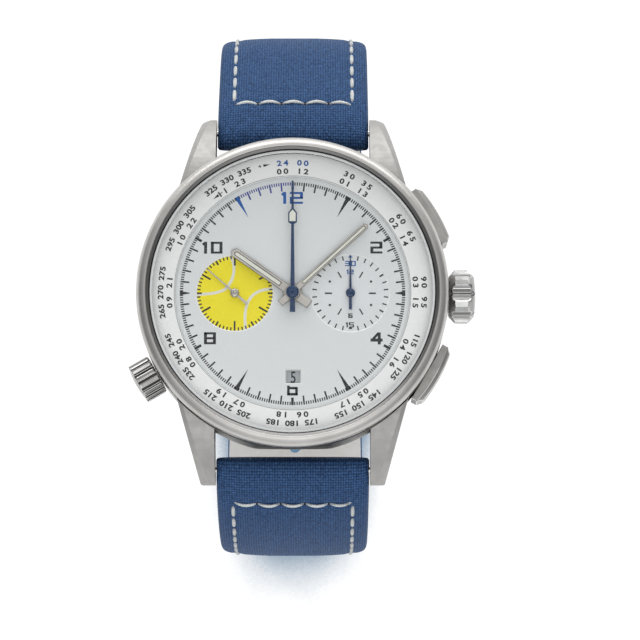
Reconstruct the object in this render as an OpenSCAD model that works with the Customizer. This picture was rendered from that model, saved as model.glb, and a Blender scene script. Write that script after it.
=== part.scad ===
// Flyback chronograph wristwatch, dial up, with its strap buckled behind it.
// The origin is the centre of the case back's outer face, +Z goes out through the
// dial, +Y points to 12 o'clock and +X to the crown.

/* [Case] */
// Diameter of the middle case and of the bezel
case_d = 44; // [44:0.25:44.5]
// Height of the middle case's top face above the case back
case_top = 9.95; // [9.95:0.05:10]
// Width between the lugs
lug_gap = 22; // [21.9:0.05:22]
// Distance from the centre to a lug's tip
lug_reach = 26.4; // [26.4:0.1:27]
// Height of the upper edge of a lug's tip
lug_tip_z = 2.75; // [2.5:0.05:2.9]
// Height of the bezel's top edge
bezel_top = 13; // [12.9:0.05:13.1]
// Height of the top of the domed crystal
crystal_top = 13.9; // [13.6:0.1:14.2]

/* [Crown and buttons] */
// Height of the crown's and the pushers' axes
crown_z = 6.3; // [6.3:0.01:6.31]
// Diameter of the crown
crown_d = 7.6; // [7:0.1:8]
// Number of teeth round the crown
crown_teeth = 6; // [6:1:8]
// Width of a pusher's cap
pusher_w = 8.9; // [8:0.1:9.2]
// Height of a pusher's cap
pusher_h = 4.6; // [4:0.1:4.8]
// Number of flutes round the corrector
corrector_flutes = 15; // [14:1:20]
// Diameter of the corrector
corrector_d = 5.75; // [5.4:0.05:5.9]

/* [Dial and hands] */
// Distance of both small dials from the centre
subdial_x = 8.15; // [8.15:0.01:8.16]
// Radius of the running seconds dial
seconds_r = 5.5; // [5.2:0.1:5.7]
// Radius of the counter dial
counter_r = 5.6; // [5.2:0.1:5.7]
// Direction of the hour hand, clockwise from 12 o'clock
hour_angle = 305; // [0:1:360]
// Direction of the minute hand, clockwise from 12 o'clock
minute_angle = 47.5; // [0:0.5:360]
// Direction of the running seconds hand, clockwise from 12 o'clock
small_angle = 311.3; // [0:0.1:360]

/* [Strap] */
// Width of the strap at the lugs
strap_w = 21.7; // [21:0.1:21.7]
// Width of the strap at the buckle
strap_end_w = 20; // [19:0.1:20]
// Thickness of the padded strap at the lugs
strap_t = 4.2; // [3.6:0.1:4.2]
// Thickness of the strap at the buckle
strap_end_t = 2.1; // [1.8:0.1:2.1]

/* [Hidden] */

$fn = 96;
case_r = case_d / 2;
// A little extra so that a cut runs past the face it opens
past = 1;

// Case
bore_r = 19.35;
case_bottom = 1.6;
flat_y = 21.3;
lug_y0 = 14;
lug_slope = 0.2736;
lug_outer_x = 16.5;
lug_bevel = 0.5;
bar_y = 24.4;
bar_z = 2.9;
bar_r = 0.85;
bar_tip_r = 0.5;
dial_bottom = 9.4;
dial_top = 9.8;
dial_r = 16.9;
glass_r = 19.72;
bezel_in = 20.05;
pusher_angles = [30, -30];
pusher_out = 23.8;
pusher_in = 21.9;
pocket_r = 20.7;
corrector_angle = 210;
corrector_z = 6.7;
corrector_in = 22.1;
corrector_out = 25.5;

// Movement levels, from the back to the dial
rotor_z = [1.75, 2.25];
rotor_rim_z = 2.7;
rotor_bridge_z = [2.45, 2.85];
chrono_z = [2.95, 3.2];
lever_z = [3.28, 3.5];
winding_z = [3.6, 3.95];
bridge_z = [4, 4.5];
barrel_z = [4.65, 6];
plate_z = [6.5, 8.35];
plate_r = 15;
work_z = 8.45;
pivot_r = 0.25;
pivot_gap = 0.04;

// Going train: positions and tooth counts
barrel_at = [8 * cos(58), 8 * sin(58)];
third_at = [-4.268, -3.307];
fourth_at = [-subdial_x, 0];
counter_at = [subdial_x, 0];
escape_at = [fourth_at[0] + 4.68 * cos(60), 4.68 * sin(60)];
fork_dir = 100;
balance_gap = 4.6;
fork_gap = 2;
balance_at = escape_at + balance_gap * [cos(fork_dir), sin(fork_dir)];
fork_at = escape_at + fork_gap * [cos(fork_dir), sin(fork_dir)];
minute_at = [0, -3.6];
crown_wheel_at = [12.7, 0];
column_at = [8.9, 8.3];
lever_at = [13.5, 3];
barrel_m = 0.2;
barrel_teeth = 64;
centre_pinion_teeth = 16;
train_m = 0.12;
centre_teeth = 80;
third_pinion_teeth = 10;
third_teeth = 75;
fourth_pinion_teeth = 10;
fine_m = 0.09;
fourth_teeth = 96;
escape_pinion_teeth = 8;
escape_teeth = 20;
cannon_m = 0.15;
cannon_teeth = 12;
minute_teeth = 36;
motion_m = 0.12;
minute_pinion_teeth = 12;
hour_teeth = 48;
wind_m = 0.2;
wind_pinion_teeth = 16;
face_teeth = 18;
crown_wheel_teeth = 20;
transfer_teeth = 24;
ratchet_teeth = 42;
transfer_at = meet(crown_wheel_at, barrel_at, (crown_wheel_teeth + transfer_teeth) * wind_m / 2 + 0.05,
  (transfer_teeth + ratchet_teeth) * wind_m / 2 + 0.03, -1);
transfer_turn = mesh_turn(direction(crown_wheel_at, transfer_at), 0, crown_wheel_teeth, transfer_teeth);
date_teeth = 31;
balance_r = 3.4;

// Strap: route in the Y-Z plane, as [radius, turn] arcs and [0, length] straights
base_z = -43;
loop_z = -38.3;
buckle_y = 1;
upper_start = -20;
lower_start = -35;
upper_route = [[12.6, 25], [0, 9], [22, 45], [16.349, 90], [0, 24.437]];
lower_route = [[10.5, 30], [51, 25], [15.5, 90], [0, 9.2], [-8, 32.4], [8, 32.4], [0, 24.86], [19, 75]];
strap_step = 2.4;
hole_pitch = 7;
used_hole = 66.9;

// Geometry helpers
function arc(c, r, a0, a1, n) = [for (i = [0:n]) let (a = a0 + (a1 - a0) * i / n) c + r * [cos(a), sin(a)]];
function polar(r, a) = [r * cos(a), r * sin(a)];
function sum(v, i) = i < 0 ? 0 : v[i] + sum(v, i - 1);

// Points of a spur wheel's outline: four a tooth, the flanks leaving room to run
function tooth_ring(n, m) = [for (i = [0:n - 1], k = [[-0.3, -1.25], [-0.1, 0.95], [0.1, 0.95], [0.3, -1.25]])
  polar(m * (n / 2 + k[1]), (i + k[0]) * 360 / n)];

// Turn of wheel B so that it meshes with wheel A, with B in direction phi from A
function mesh_turn(phi, turn_a, n_a, n_b) = phi + 180 - 180 / n_b + (phi - turn_a) * n_a / n_b;
function direction(a, b) = atan2(b[1] - a[1], b[0] - a[0]);
function meet(a, b, ra, rb, side) = let (d = norm(b - a), x = (d * d + ra * ra - rb * rb) / (2 * d),
  h = sqrt(max(0, ra * ra - x * x)), u = (b - a) / d) a + x * u + side * h * [-u[1], u[0]];

module at(p) {
  translate([p[0], p[1], 0]) children();
}

module disc(r, z0, z1) {
  translate([0, 0, z0]) cylinder(r = r, h = z1 - z0);
}

module washer(r_in, r_out, z0, z1) {
  difference() {
    disc(r_out, z0, z1);
    disc(r_in, z0 - past, z1 + past);
  }
}

module plate(points, z0, z1) {
  translate([0, 0, z0]) linear_extrude(z1 - z0) polygon(points);
}

module gear(n, m, z0, z1, turn = 0) {
  rotate([0, 0, turn]) plate(tooth_ring(n, m), z0, z1);
}

// A crossed-out wheel: toothed rim, spokes and hub
module wheel(n, m, z0, z1, turn, spokes, bore) {
  rim = m * (n / 2 - 1.25) - 0.45;
  difference() {
    gear(n, m, z0, z1, turn);
    disc(bore, z0 - past, z1 + past);
    for (i = [0:spokes - 1]) {
      rotate([0, 0, turn + i * 360 / spokes]) spoke_gap(rim, 180 / spokes, z0, z1);
    }
  }
}

// The open space between two spokes, bounded by the hub and the rim
module spoke_gap(rim, half, z0, z1) {
  half_spoke = 0.22;
  inner = 0.9;
  edge_in = half - asin(half_spoke / inner);
  edge_out = half - asin(half_spoke / rim);
  plate(concat(arc([0, 0], rim, -edge_out, edge_out, 8), arc([0, 0], inner, edge_in, -edge_in, 4)),
    z0 - past, z1 + past);
}

// A bar between two points in plan, with round bosses at its ends
module link(a, b, w, z0, z1) {
  at(a) disc(w / 2, z0, z1);
  at(b) disc(w / 2, z0, z1);
  at(a) rotate([0, 0, direction(a, b)]) translate([0, -0.44 * w, z0]) cube([norm(b - a), 0.88 * w, z1 - z0]);
}

// A cylinder along a line that runs out from the centre at the given angle
module radial(angle, z, r, from, to) {
  rotate([0, 0, angle]) translate([from, 0, z]) rotate([0, 90, 0]) cylinder(r = r, h = to - from);
}

module across(r, y, z, half) {
  translate([-half, y, z]) rotate([0, 90, 0]) cylinder(r = r, h = 2 * half);
}

// Case

module lug_profile() {
  rise = case_top - 0.2 - lug_tip_z;
  run = lug_reach - lug_y0;
  r = (run * run + rise * rise) / (2 * rise);
  top = arc([lug_y0, case_top - 0.2 - r], r, 90, acos(run / r), 20);
  polygon(concat([[10, case_top - 0.2]], top, [[lug_reach, 1.3], [lug_reach - 0.4, 0.85],
    [lug_reach - 1.4, 0.8], [20.5, 2.5], [10, 2.6]]));
}

// Plane view of a lug: straight inner side, outer side drawn in towards the rounded tip
module lug_outline() {
  tip_x = lug_outer_x - lug_slope * (lug_reach - lug_y0);
  corner = 0.35;
  polygon(concat([[lug_gap / 2, 12], [lug_outer_x + lug_slope * 1.3, lug_y0 - 1.3]],
    arc([tip_x - corner * 0.85, lug_reach - corner], corner, 15.3, 90, 8), [[lug_gap / 2, lug_reach]]));
}

module lug() {
  rise = case_top - 0.2 - lug_tip_z;
  run = lug_reach - lug_y0;
  r = (run * run + rise * rise) / (2 * rise);
  tilt = atan(lug_slope);
  difference() {
    intersection() {
      linear_extrude(case_top) lug_outline();
      translate([5, 0, 0]) rotate([90, 0, 90]) linear_extrude(15) lug_profile();
    }
    translate([lug_outer_x, lug_y0, case_top - 0.2 - r]) rotate([0, 0, tilt]) rotate([0, 90, 0])
    difference() {
      translate([0, 0, -6]) cylinder(r = r + 5, h = 8);
      translate([0, 0, -7]) cylinder(r1 = r + 7 - lug_bevel, r2 = r - 3 - lug_bevel, h = 10);
    }
    translate([lug_gap / 2 - past, bar_y, bar_z]) rotate([0, 90, 0])
    cylinder(r = bar_tip_r + 0.04, h = past + 1.4);
  }
}

module mid_case() {
  color("silver") difference() {
    union() {
      rotate_extrude() polygon([[bore_r, case_bottom], [20.5, case_bottom], [21.3, 1.9], [21.85, 2.5],
        [case_r, 3.2], [case_r, 9.55], [case_r - 0.15, 9.7], [21.55, 9.75], [21.55, case_top],
        [20.1, case_top], [20.1, 9.3], [bore_r, 9.3]]);
      for (mx = [0, 1], my = [0, 1]) {
        mirror([mx, 0, 0]) mirror([0, my, 0]) lug();
      }
    }
    disc(bore_r, 0, 9.3);
    disc(20.1, 9.3, 11);
    for (s = [-1, 1]) {
      translate([-lug_gap / 2, s > 0 ? flat_y : -flat_y - 6, 0]) cube([lug_gap, 6, 9.6]);
    }
    radial(0, crown_z, 1.4, 18, 23);
    radial(corrector_angle, corrector_z, 1.2, 18, 23);
    for (a = pusher_angles) {
      radial(a, crown_z, 1.3, 18, 23);
      pusher_block(a, pocket_r, 24, 0.12);
    }
  }
}

// The space of a pusher's cap: a block along the radius, grown by a clearance
module pusher_block(angle, from, to, gap) {
  w = pusher_w + 2 * gap;
  h = pusher_h + 2 * gap;
  rotate([0, 0, angle]) translate([from, -w / 2, crown_z - h / 2]) cube([to - from, w, h]);
}

module bezel() {
  color("gainsboro") rotate_extrude() polygon(concat(
    [[bezel_in, case_top], [21.75, case_top], [case_r - 0.05, case_top + 0.25]],
    arc([case_r - 1.5, bezel_top - 1.5], 1.5, 0, 82, 12),
    [[20.62, bezel_top - 0.06], [20.55, bezel_top - 0.25], [20.12, bezel_top - 0.55],
      [bezel_in, bezel_top - 0.65]]));
}

module crystal() {
  dome = 58;
  color("lightblue") intersection() {
    union() {
      disc(glass_r, 11.9, bezel_top - 0.4);
      translate([0, 0, crystal_top - dome]) sphere(r = dome, $fn = 180);
    }
    rotate_extrude() polygon([[0, 11.9], [glass_r, 11.9], [glass_r, bezel_top - 0.4],
      [glass_r - 0.4, bezel_top + 0.2], [glass_r - 0.4, 15], [0, 15]]);
  }
}

module crystal_gasket() {
  color("black") washer(glass_r, bezel_in, 11.7, bezel_top - 0.75);
}

module case_back() {
  color("silver") difference() {
    rotate_extrude() polygon([[14.5, 0], [18.9, 0], [20.2, 0.6], [20.4, 0.9], [20.4, case_bottom],
      [19.3, case_bottom], [19.3, 2.6], [18.2, 2.6], [18.2, 1.9], [14.2, 1.9], [14.2, 1.3], [14.5, 1.3]]);
    washer(19.6, 20.2, case_bottom - 0.4, case_bottom + past);
    for (i = [0:5]) {
      rotate([0, 0, i * 60 + 30]) translate([16.4, -1, -past]) cube([4.5, 2, past + 0.55]);
    }
  }
}

module back_crystal() {
  color("lightblue") disc(14.5, 0, 1.3);
}

module back_gasket() {
  color("black") washer(19.65, 20.15, case_bottom - 0.38, case_bottom);
}

module case_tubes() {
  color("silver") {
    difference() {
      radial(0, crown_z, 1.4, bore_r + 0.05, 23.2);
      radial(0, crown_z, 0.75, 18, 24);
    }
    for (a = pusher_angles) {
      difference() {
        radial(a, crown_z, 1.3, bore_r + 0.05, pocket_r);
        radial(a, crown_z, 0.85, 18, 24);
      }
    }
    difference() {
      radial(corrector_angle, corrector_z, 1.2, bore_r + 0.05, 21.95);
      radial(corrector_angle, corrector_z, 0.75, 18, 24);
    }
  }
}

// Crown, corrector and pushers

module crown() {
  r = crown_d / 2;
  x0 = case_r + 0.1;
  length = 3.6;
  chamfer = 0.95;
  groove_r = r - 0.5;
  tooth = 360 / crown_teeth;
  steps = [[-18, groove_r], [-12, r], [0, r + 0.06], [12, r], [18, groove_r],
    [28.5, groove_r + 0.12], [30, groove_r - 0.2], [31.5, groove_r + 0.12]];
  outline = [for (i = [0:crown_teeth - 1], k = steps) polar(k[1], i * tooth + k[0])];
  crowned = [for (i = [1:5]) [(r - chamfer) * (1 - i / 5), length + 0.25 * sin(18 * i)]];
  color("silver") translate([x0, 0, crown_z]) rotate([90, 0, 90]) difference() {
    intersection() {
      linear_extrude(length + 0.3) polygon(outline);
      rotate_extrude() polygon(concat([[0, 0], [r - chamfer, 0], [r + 0.1, chamfer],
        [r + 0.1, length - chamfer], [r - chamfer, length]], crowned));
    }
    translate([0, 0, -past]) cylinder(r = 1.75, h = past + 1.5);
    translate([0, 0, -past]) cylinder(r = 0.6, h = past + 2.6);
  }
}

module winding_stem() {
  color("gray") {
    radial(0, crown_z, 0.68, 14.6, 23);
    radial(0, crown_z, 0.6, 23, case_r + 2.6);
    radial(0, crown_z, 0.55, 11.4, 14.7);
    translate([8.9, -0.375, crown_z - 0.375]) cube([2.6, 0.75, 0.75]);
  }
}

module clutch_wheel() {
  x0 = 9.4;
  color("gold") difference() {
    translate([x0, 0, crown_z]) rotate([90, 0, 90]) union() {
      gear(16, 0.18, 0, 0.3);
      disc(0.95, 0.3, 0.6);
      for (i = [0:7]) {
        rotate([0, 0, i * 45]) translate([0.75, -0.17, 0.6]) cube([0.5, 0.34, 0.25]);
      }
      disc(1.3, 0.55, 0.62);
    }
    translate([x0 - past, -0.395, crown_z - 0.395]) cube([3, 0.79, 0.79]);
  }
}

module winding_pinion() {
  x0 = 10.4;
  color("gold") difference() {
    translate([x0, 0, crown_z]) rotate([90, 0, 90]) gear(wind_pinion_teeth, wind_m, 0, 0.85);
    radial(0, crown_z, 0.6, 9, 13);
  }
}

module corrector_shape() {
  r = corrector_d / 2;
  n = corrector_flutes;
  outline = [for (i = [0:n - 1], k = [[-0.22, r - 0.38], [-0.25, r], [0.25, r], [0.22, r - 0.38]])
    polar(k[1], (i + k[0]) * 360 / n)];
  length = corrector_out - corrector_in;
  intersection() {
    linear_extrude(length) polygon(outline);
    rotate_extrude() polygon(concat([[0, 0], [r - 0.25, 0], [r + 0.1, 0.35], [r + 0.1, length - 0.5]],
      [for (i = [0:6]) [(r - 0.1) * (1 - i / 6), length - 0.3 + 0.3 * sin(15 * i)]]));
  }
}

module corrector() {
  color("silver") difference() {
    rotate([0, 0, corrector_angle]) translate([corrector_in, 0, corrector_z]) rotate([90, 0, 90])
    corrector_shape();
    radial(corrector_angle, corrector_z, 0.7, 20, 24);
  }
}

module corrector_stem() {
  color("gray") {
    radial(corrector_angle, corrector_z, 0.7, 17.4, 24);
    rotate([0, 0, corrector_angle]) translate([17.9, 0, corrector_z]) rotate([90, 0, 90])
    gear(12, 0.28, 0, 1.2, 90);
  }
}

// A pusher: curved cap with chamfered edges on a round stem
module pusher(angle) {
  chamfer = 0.55;
  z0 = crown_z - pusher_h / 2;
  z1 = crown_z + pusher_h / 2;
  intersection() {
    rotate_extrude() polygon([[18, z0], [pusher_out - chamfer, z0], [pusher_out, z0 + chamfer],
      [pusher_out, z1 - chamfer], [pusher_out - chamfer, z1], [18, z1]]);
    rotate([0, 0, angle]) linear_extrude(20) polygon([[pusher_in, -pusher_w / 2], [22.75, -pusher_w / 2],
      [23.35, -pusher_w / 2 + chamfer], [25, -pusher_w / 2 + 1.6], [25, pusher_w / 2 - 1.6],
      [23.35, pusher_w / 2 - chamfer], [22.75, pusher_w / 2], [pusher_in, pusher_w / 2]]);
  }
  radial(angle, crown_z, 0.8, 15.85, pusher_in + 0.3);
}

module start_pusher() {
  color("silver") pusher(pusher_angles[0]);
}

module reset_pusher() {
  color("silver") pusher(pusher_angles[1]);
}

// Dial side

module dial() {
  sink = 0.16;
  color("whitesmoke") difference() {
    disc(dial_r, dial_bottom, dial_top);
    disc(1.25, 9, 11);
    at(fourth_at) disc(0.45, 9, 11);
    at(counter_at) disc(0.75, 9, 11);
    at(fourth_at) disc(seconds_r, dial_top - sink, 11);
    at(counter_at) disc(counter_r, dial_top - sink, 11);
    translate([-1.025, -12.9, 9]) cube([2.25, 2.1, 2]);
  }
}

// Crown teeth under the turning ring, cut as radial slots
module time_ring() {
  n = 132;
  color("white") {
    washer(16.6, 19.9, 10, 10.6);
    washer(18, 19.2, 9, 10);
    for (i = [0:n - 1]) {
      rotate([0, 0, corrector_angle + (i + 0.5) * 360 / n]) plate([[18.03, -0.2], [19.15, -0.2], [19.15, 0.2],
        [18.03, 0.2]], 8.45, 9.1);
    }
  }
}

module date_disc() {
  outline = [for (i = [0:date_teeth - 1], k = [[-0.3, 10.9], [-0.12, 10.35], [0.12, 10.35], [0.3, 10.9]])
    polar(k[1], (i + k[0]) * 360 / date_teeth)];
  color("white") difference() {
    disc(13.3, 8.95, 9.2);
    plate(outline, 8, 10);
  }
}

module hand_blank(length, width, tip, tail, tail_w, hub, z0, z1) {
  plate([[-tail_w / 2, -tail], [tail_w / 2, -tail], [width / 2, -hub * 0.6], [width / 2, length - tip],
    [0, length], [-width / 2, length - tip], [-width / 2, -hub * 0.6]], z0, z1);
  disc(hub, z0, z1);
}

module hour_hand() {
  color("silver") rotate([0, 0, -hour_angle]) difference() {
    hand_blank(10.5, 1.28, 0.45, 2.95, 1.25, 1.35, 10.2, 10.38);
    disc(1, 9, 12);
    plate([[-0.28, 2.1], [0.28, 2.1], [0.28, 9.7], [0, 9.95], [-0.28, 9.7]], 10, 11);
  }
}

module minute_hand() {
  color("silver") rotate([0, 0, -minute_angle]) difference() {
    hand_blank(14.35, 0.88, 0.3, 2.35, 1.1, 1.1, 10.55, 10.75);
    disc(0.68, 9, 12);
    plate([[-0.19, 2], [0.19, 2], [0.19, 13.8], [-0.19, 13.8]], 10, 11);
  }
}

module chrono_hand() {
  color("midnightblue") difference() {
    union() {
      plate([[-0.385, -2.87], [0.385, -2.87], [0.31, 0], [0.19, 9.8], [0.13, 15.9], [-0.13, 15.9],
        [-0.19, 9.8], [-0.31, 0]], 11, 11.18);
      plate([[-0.61, 9.95], [-0.3, 9.7], [0.3, 9.7], [0.61, 9.95], [0.61, 11.3], [0, 12.1],
        [-0.61, 11.3]], 11, 11.18);
      disc(0.9, 11, 11.3);
    }
    disc(0.22, 10, 12);
    plate([[-0.44, 10.05], [0.44, 10.05], [0.44, 11.25], [0, 11.75], [-0.44, 11.25]], 10, 12);
  }
}

module small_seconds_hand() {
  color("silver") at(fourth_at) rotate([0, 0, -small_angle]) difference() {
    union() {
      plate([[-0.19, -2.32], [0.19, -2.32], [0.13, 0], [0.06, 5.16], [-0.06, 5.16], [-0.13, 0]], 9.78, 9.92);
      disc(0.63, 9.78, 10.05);
    }
    disc(0.2, 9, 12);
  }
}

module minute_counter_hand() {
  color("midnightblue") at(counter_at) difference() {
    union() {
      plate([[-0.22, -2.35], [0.22, -2.35], [0.17, 0], [0.07, 5.3], [-0.07, 5.3], [-0.17, 0]], 9.94, 10.04);
      disc(0.65, 9.94, 10.12);
    }
    disc(0.2, 9, 12);
  }
}

module hour_counter_hand() {
  color("midnightblue") at(counter_at) difference() {
    union() {
      plate([[-0.2, -1.2], [0.2, -1.2], [0.17, 0], [0.13, 2.3], [0, 3.2], [-0.13, 2.3],
        [-0.17, 0]], 9.74, 9.84);
      disc(0.6, 9.74, 9.88);
    }
    disc(0.42, 9, 12);
  }
}

// Movement

module main_plate() {
  hole = pivot_r + pivot_gap;
  color("tan") {
    difference() {
      rotate_extrude() polygon([[0, plate_z[0]], [plate_r, plate_z[0]], [plate_r, 9.3], [13.55, 9.3],
        [13.55, 8.9], [11.2, 8.9], [11.2, plate_z[1]], [0, plate_z[1]]]);
      disc(0.54, 6, 9);
      for (p = [third_at, fork_at, balance_at, escape_at, barrel_at]) {
        at(p) disc(hole, 6, 9.5);
      }
      at(fourth_at) disc(0.24, 6, 9.5);
      at(counter_at) disc(0.24, 6, 9.5);
      radial(0, crown_z, 0.8, 11.2, 16);
      radial(0, crown_z, 2.1, 9.1, 11.4);
      radial(0, crown_z, 0.6, 8.8, 9.2);
      for (a = pusher_angles) {
        rotate([0, 0, a]) translate([13.7, -2.6, 6]) cube([3, 5.2, 1.4]);
      }
      at(balance_at) disc(1, 6.4, 6.9);
    }
    at(minute_at) disc(0.3, plate_z[1] - 0.1, 9);
    for (s = [-1, 1]) {
      at([lever_at[0], s * lever_at[1]]) disc(0.4, 2.95, plate_z[0] + 0.1);
    }
  }
}

module movement_ring() {
  color("gray") difference() {
    rotate_extrude() polygon([[plate_r + 0.05, 2.7], [bore_r - 0.05, 2.7], [bore_r - 0.05, 8.2], [17.4, 8.2],
      [17.4, 9.35], [plate_r + 0.05, 9.35]]);
    radial(0, crown_z, 0.95, 14, 20);
    for (a = pusher_angles) {
      radial(a, crown_z, 1, 14, 20);
      rotate([0, 0, a]) translate([14, -3.2, 2]) cube([2.4, 6.4, 5.4]);
    }
    radial(corrector_angle, corrector_z, 0.9, 17, 20);
    rotate([0, 0, corrector_angle]) translate([17, -2.3, corrector_z - 2.3]) cube([3, 4.6, 6]);
  }
  color("gray") {
    translate([crown_wheel_at[0], -0.7, 3]) cube([3, 1.4, 0.4]);
    at(crown_wheel_at) disc(0.7, 3, 3.4);
    at(crown_wheel_at) disc(0.46, 3.3, 4.1);
  }
}

// A bridge: a plate on feet, with holes for the pivots it carries
module bridge(points, feet, holes, levels, foot_top) {
  difference() {
    plate(points, levels[0], levels[1]);
    for (p = holes) {
      at([p[0], p[1]]) disc(p[2], levels[0] - past, levels[1] + past);
    }
  }
  for (p = feet) {
    at(p) disc(0.9, levels[1], foot_top);
  }
}

module train_bridge() {
  hole = pivot_r + pivot_gap;
  color("lightgray") bridge(concat(arc([0, 0], 14.6, 168, 262, 16), [polar(5.4, 262)],
    arc([0, 0], 2.6, 300, 460, 12), [[-3, 3.2], [-4.4, 5.6], [-7.4, 5.9], [-9.5, 3]]),
    [polar(13.6, 176), polar(13.6, 218), polar(13.6, 252)],
    [[third_at[0], third_at[1], hole], [fourth_at[0], 0, hole], [escape_at[0], escape_at[1], hole],
      [0, 0, 0.34]], bridge_z, plate_z[0]);
}

// Also carries the studs of the column wheel and of the transfer wheel
module barrel_bridge() {
  color("lightgray") {
    bridge(concat([polar(3.2, 108)], [polar(14.6, 96)], arc([0, 0], 14.6, 88, 56, 8), [polar(13.6, 52),
      polar(13.3, 30), polar(13.5, 15), polar(9.8, 14), polar(9.2, 24), polar(5.6, 30), polar(3.2, 48)]),
      [polar(13.6, 95), polar(12.6, 20)], [[barrel_at[0], barrel_at[1], 0.84]], bridge_z, plate_z[0]);
    at(column_at) disc(0.35, 2.95, bridge_z[0] + 0.2);
    at(transfer_at) disc(0.46, winding_z[0] - 0.05, bridge_z[0] + 0.2);
  }
}

module balance_cock() {
  foot = polar(13.5, 152);
  color("lightgray") difference() {
    union() {
      link(balance_at, foot, 2.2, 3.35, 3.9);
      at(foot) disc(1.1, 3.9, plate_z[0]);
      at(balance_at) disc(1.5, 3.35, 3.9);
    }
    at(balance_at) disc(pivot_r + pivot_gap, 3, 5);
  }
}

module rotor_bridge() {
  z = rotor_bridge_z;
  color("lightgray") difference() {
    union() {
      disc(2.6, z[0], z[1]);
      for (a = [200, 292]) {
        rotate([0, 0, a]) translate([2, -0.85, z[0]]) cube([9.3, 1.7, z[1] - z[0]]);
        at(polar(11.2, a)) disc(1, z[0], a < 270 ? bridge_z[0] : plate_z[0]);
      }
      disc(1.5, rotor_z[0], z[0] + 0.1);
    }
    disc(0.3, 1, 5);
  }
}

module rotor() {
  color("silver") difference() {
    union() {
      difference() {
        union() {
          disc(13.9, rotor_z[0], rotor_z[1]);
          washer(12.3, 13.9, rotor_z[1], rotor_rim_z);
        }
        translate([-15, 0, 1]) cube([30, 15, 3]);
        for (a = [210, 250, 290, 330]) {
          rotate([0, 0, a]) plate(concat(arc([0, 0], 11.6, -13, 13, 8), arc([0, 0], 5, 9, -9, 5)), 1, 3);
        }
      }
      disc(2.6, rotor_z[0], rotor_z[1]);
    }
    disc(1.55, 1, 3);
  }
}

module barrel() {
  color("goldenrod") at(barrel_at) difference() {
    union() {
      gear(barrel_teeth, barrel_m, barrel_z[0], barrel_z[0] + 0.4);
      disc(5.9, barrel_z[0] + 0.4, barrel_z[1]);
    }
    disc(5.5, barrel_z[0] + 0.25, barrel_z[1] - 0.2);
    disc(0.9, 4, 7);
  }
}

// Spiral ribbon of the given number of turns, a few straight runs to a turn
module spiral(r0, r1, turns, t, steps, z0, z1) {
  n = turns * steps;
  outer = [for (i = [0:n]) polar(r0 + (r1 - r0) * i / n + t / 2, i * 360 / steps)];
  inner = [for (i = [n:-1:0]) polar(r0 + (r1 - r0) * i / n - t / 2, i * 360 / steps)];
  plate(concat(outer, inner), z0, z1);
}

module mainspring() {
  color("steelblue") at(barrel_at) spiral(1.6, 5.2, 7, 0.14, 20, barrel_z[0] + 0.3, barrel_z[1] - 0.25);
}

module ratchet_wheel() {
  turn = mesh_turn(direction(transfer_at, barrel_at), transfer_turn, transfer_teeth, ratchet_teeth);
  color("silver") at(barrel_at) {
    gear(ratchet_teeth, wind_m, winding_z[0], winding_z[1], turn);
    disc(0.8, winding_z[0] + 0.1, plate_z[0] - 0.2);
    disc(pivot_r, plate_z[0] - 0.4, 7.4);
  }
}

module transfer_wheel() {
  color("silver") at(transfer_at) difference() {
    gear(transfer_teeth, wind_m, winding_z[0], winding_z[1], transfer_turn);
    disc(0.5, 3, 5);
    for (i = [0:5]) {
      rotate([0, 0, i * 60]) translate([1.35, 0, 0]) disc(0.35, 3, 5);
    }
  }
}

// Spur teeth on the rim drive the winding train, face teeth below take the stem's pinion
module crown_wheel() {
  color("silver") at(crown_wheel_at) difference() {
    union() {
      gear(crown_wheel_teeth, wind_m, winding_z[0], winding_z[1]);
      disc(2.1, winding_z[1] - 0.1, 4.4);
      for (i = [0:face_teeth - 1]) {
        rotate([0, 0, (i + 0.5) * 360 / face_teeth + 180]) plate([[1.35, -0.11], [2.05, -0.11], [2.05, 0.11],
          [1.35, 0.11]], 4.3, 4.7);
      }
    }
    disc(0.5, 3, 4.2);
  }
}

module centre_wheel() {
  pinion_turn = mesh_turn(direction(barrel_at, [0, 0]), 0, barrel_teeth, centre_pinion_teeth);
  color("gold") difference() {
    union() {
      wheel(centre_teeth, train_m, 6.12, 6.35, 0, 5, 0.4);
      gear(centre_pinion_teeth, barrel_m, 4.6, 5.1, pinion_turn);
      disc(0.5, 4.55, 10.75);
    }
    disc(0.3, 4, 12);
  }
}

module cannon_pinion() {
  color("silver") difference() {
    union() {
      gear(cannon_teeth, cannon_m, 8.42, 8.68);
      disc(0.68, 8.68, 10.85);
    }
    disc(0.5, 8, 11);
  }
}

module minute_wheel() {
  turn = mesh_turn(direction([0, 0], minute_at), 0, cannon_teeth, minute_teeth);
  color("gold") at(minute_at) difference() {
    union() {
      wheel(minute_teeth, cannon_m, 8.44, 8.66, turn, 3, 0.34);
      gear(minute_pinion_teeth, motion_m, 8.6, 8.94);
    }
    disc(0.34, 8, 10);
  }
}

module hour_wheel() {
  turn = mesh_turn(direction(minute_at, [0, 0]), 0, minute_pinion_teeth, hour_teeth);
  color("gold") difference() {
    union() {
      gear(hour_teeth, motion_m, 8.72, 8.92, turn);
      disc(1, 8.8, 10.42);
    }
    disc(0.74, 8, 11);
  }
}

module arbor(p, z0, z1) {
  at(p) {
    disc(pivot_r, z0, z1);
    disc(0.32, bridge_z[1] + 0.1, plate_z[0] - 0.1);
  }
}

module third_wheel() {
  turn = mesh_turn(direction([0, 0], third_at), 0, centre_teeth, third_pinion_teeth);
  color("gold") {
    at(third_at) wheel(third_teeth, train_m, 5.4, 5.64, 0, 5, 0.2);
    at(third_at) gear(third_pinion_teeth, train_m, 5.9, 6.38, turn);
    arbor(third_at, 4.05, 7.6);
  }
}

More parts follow.
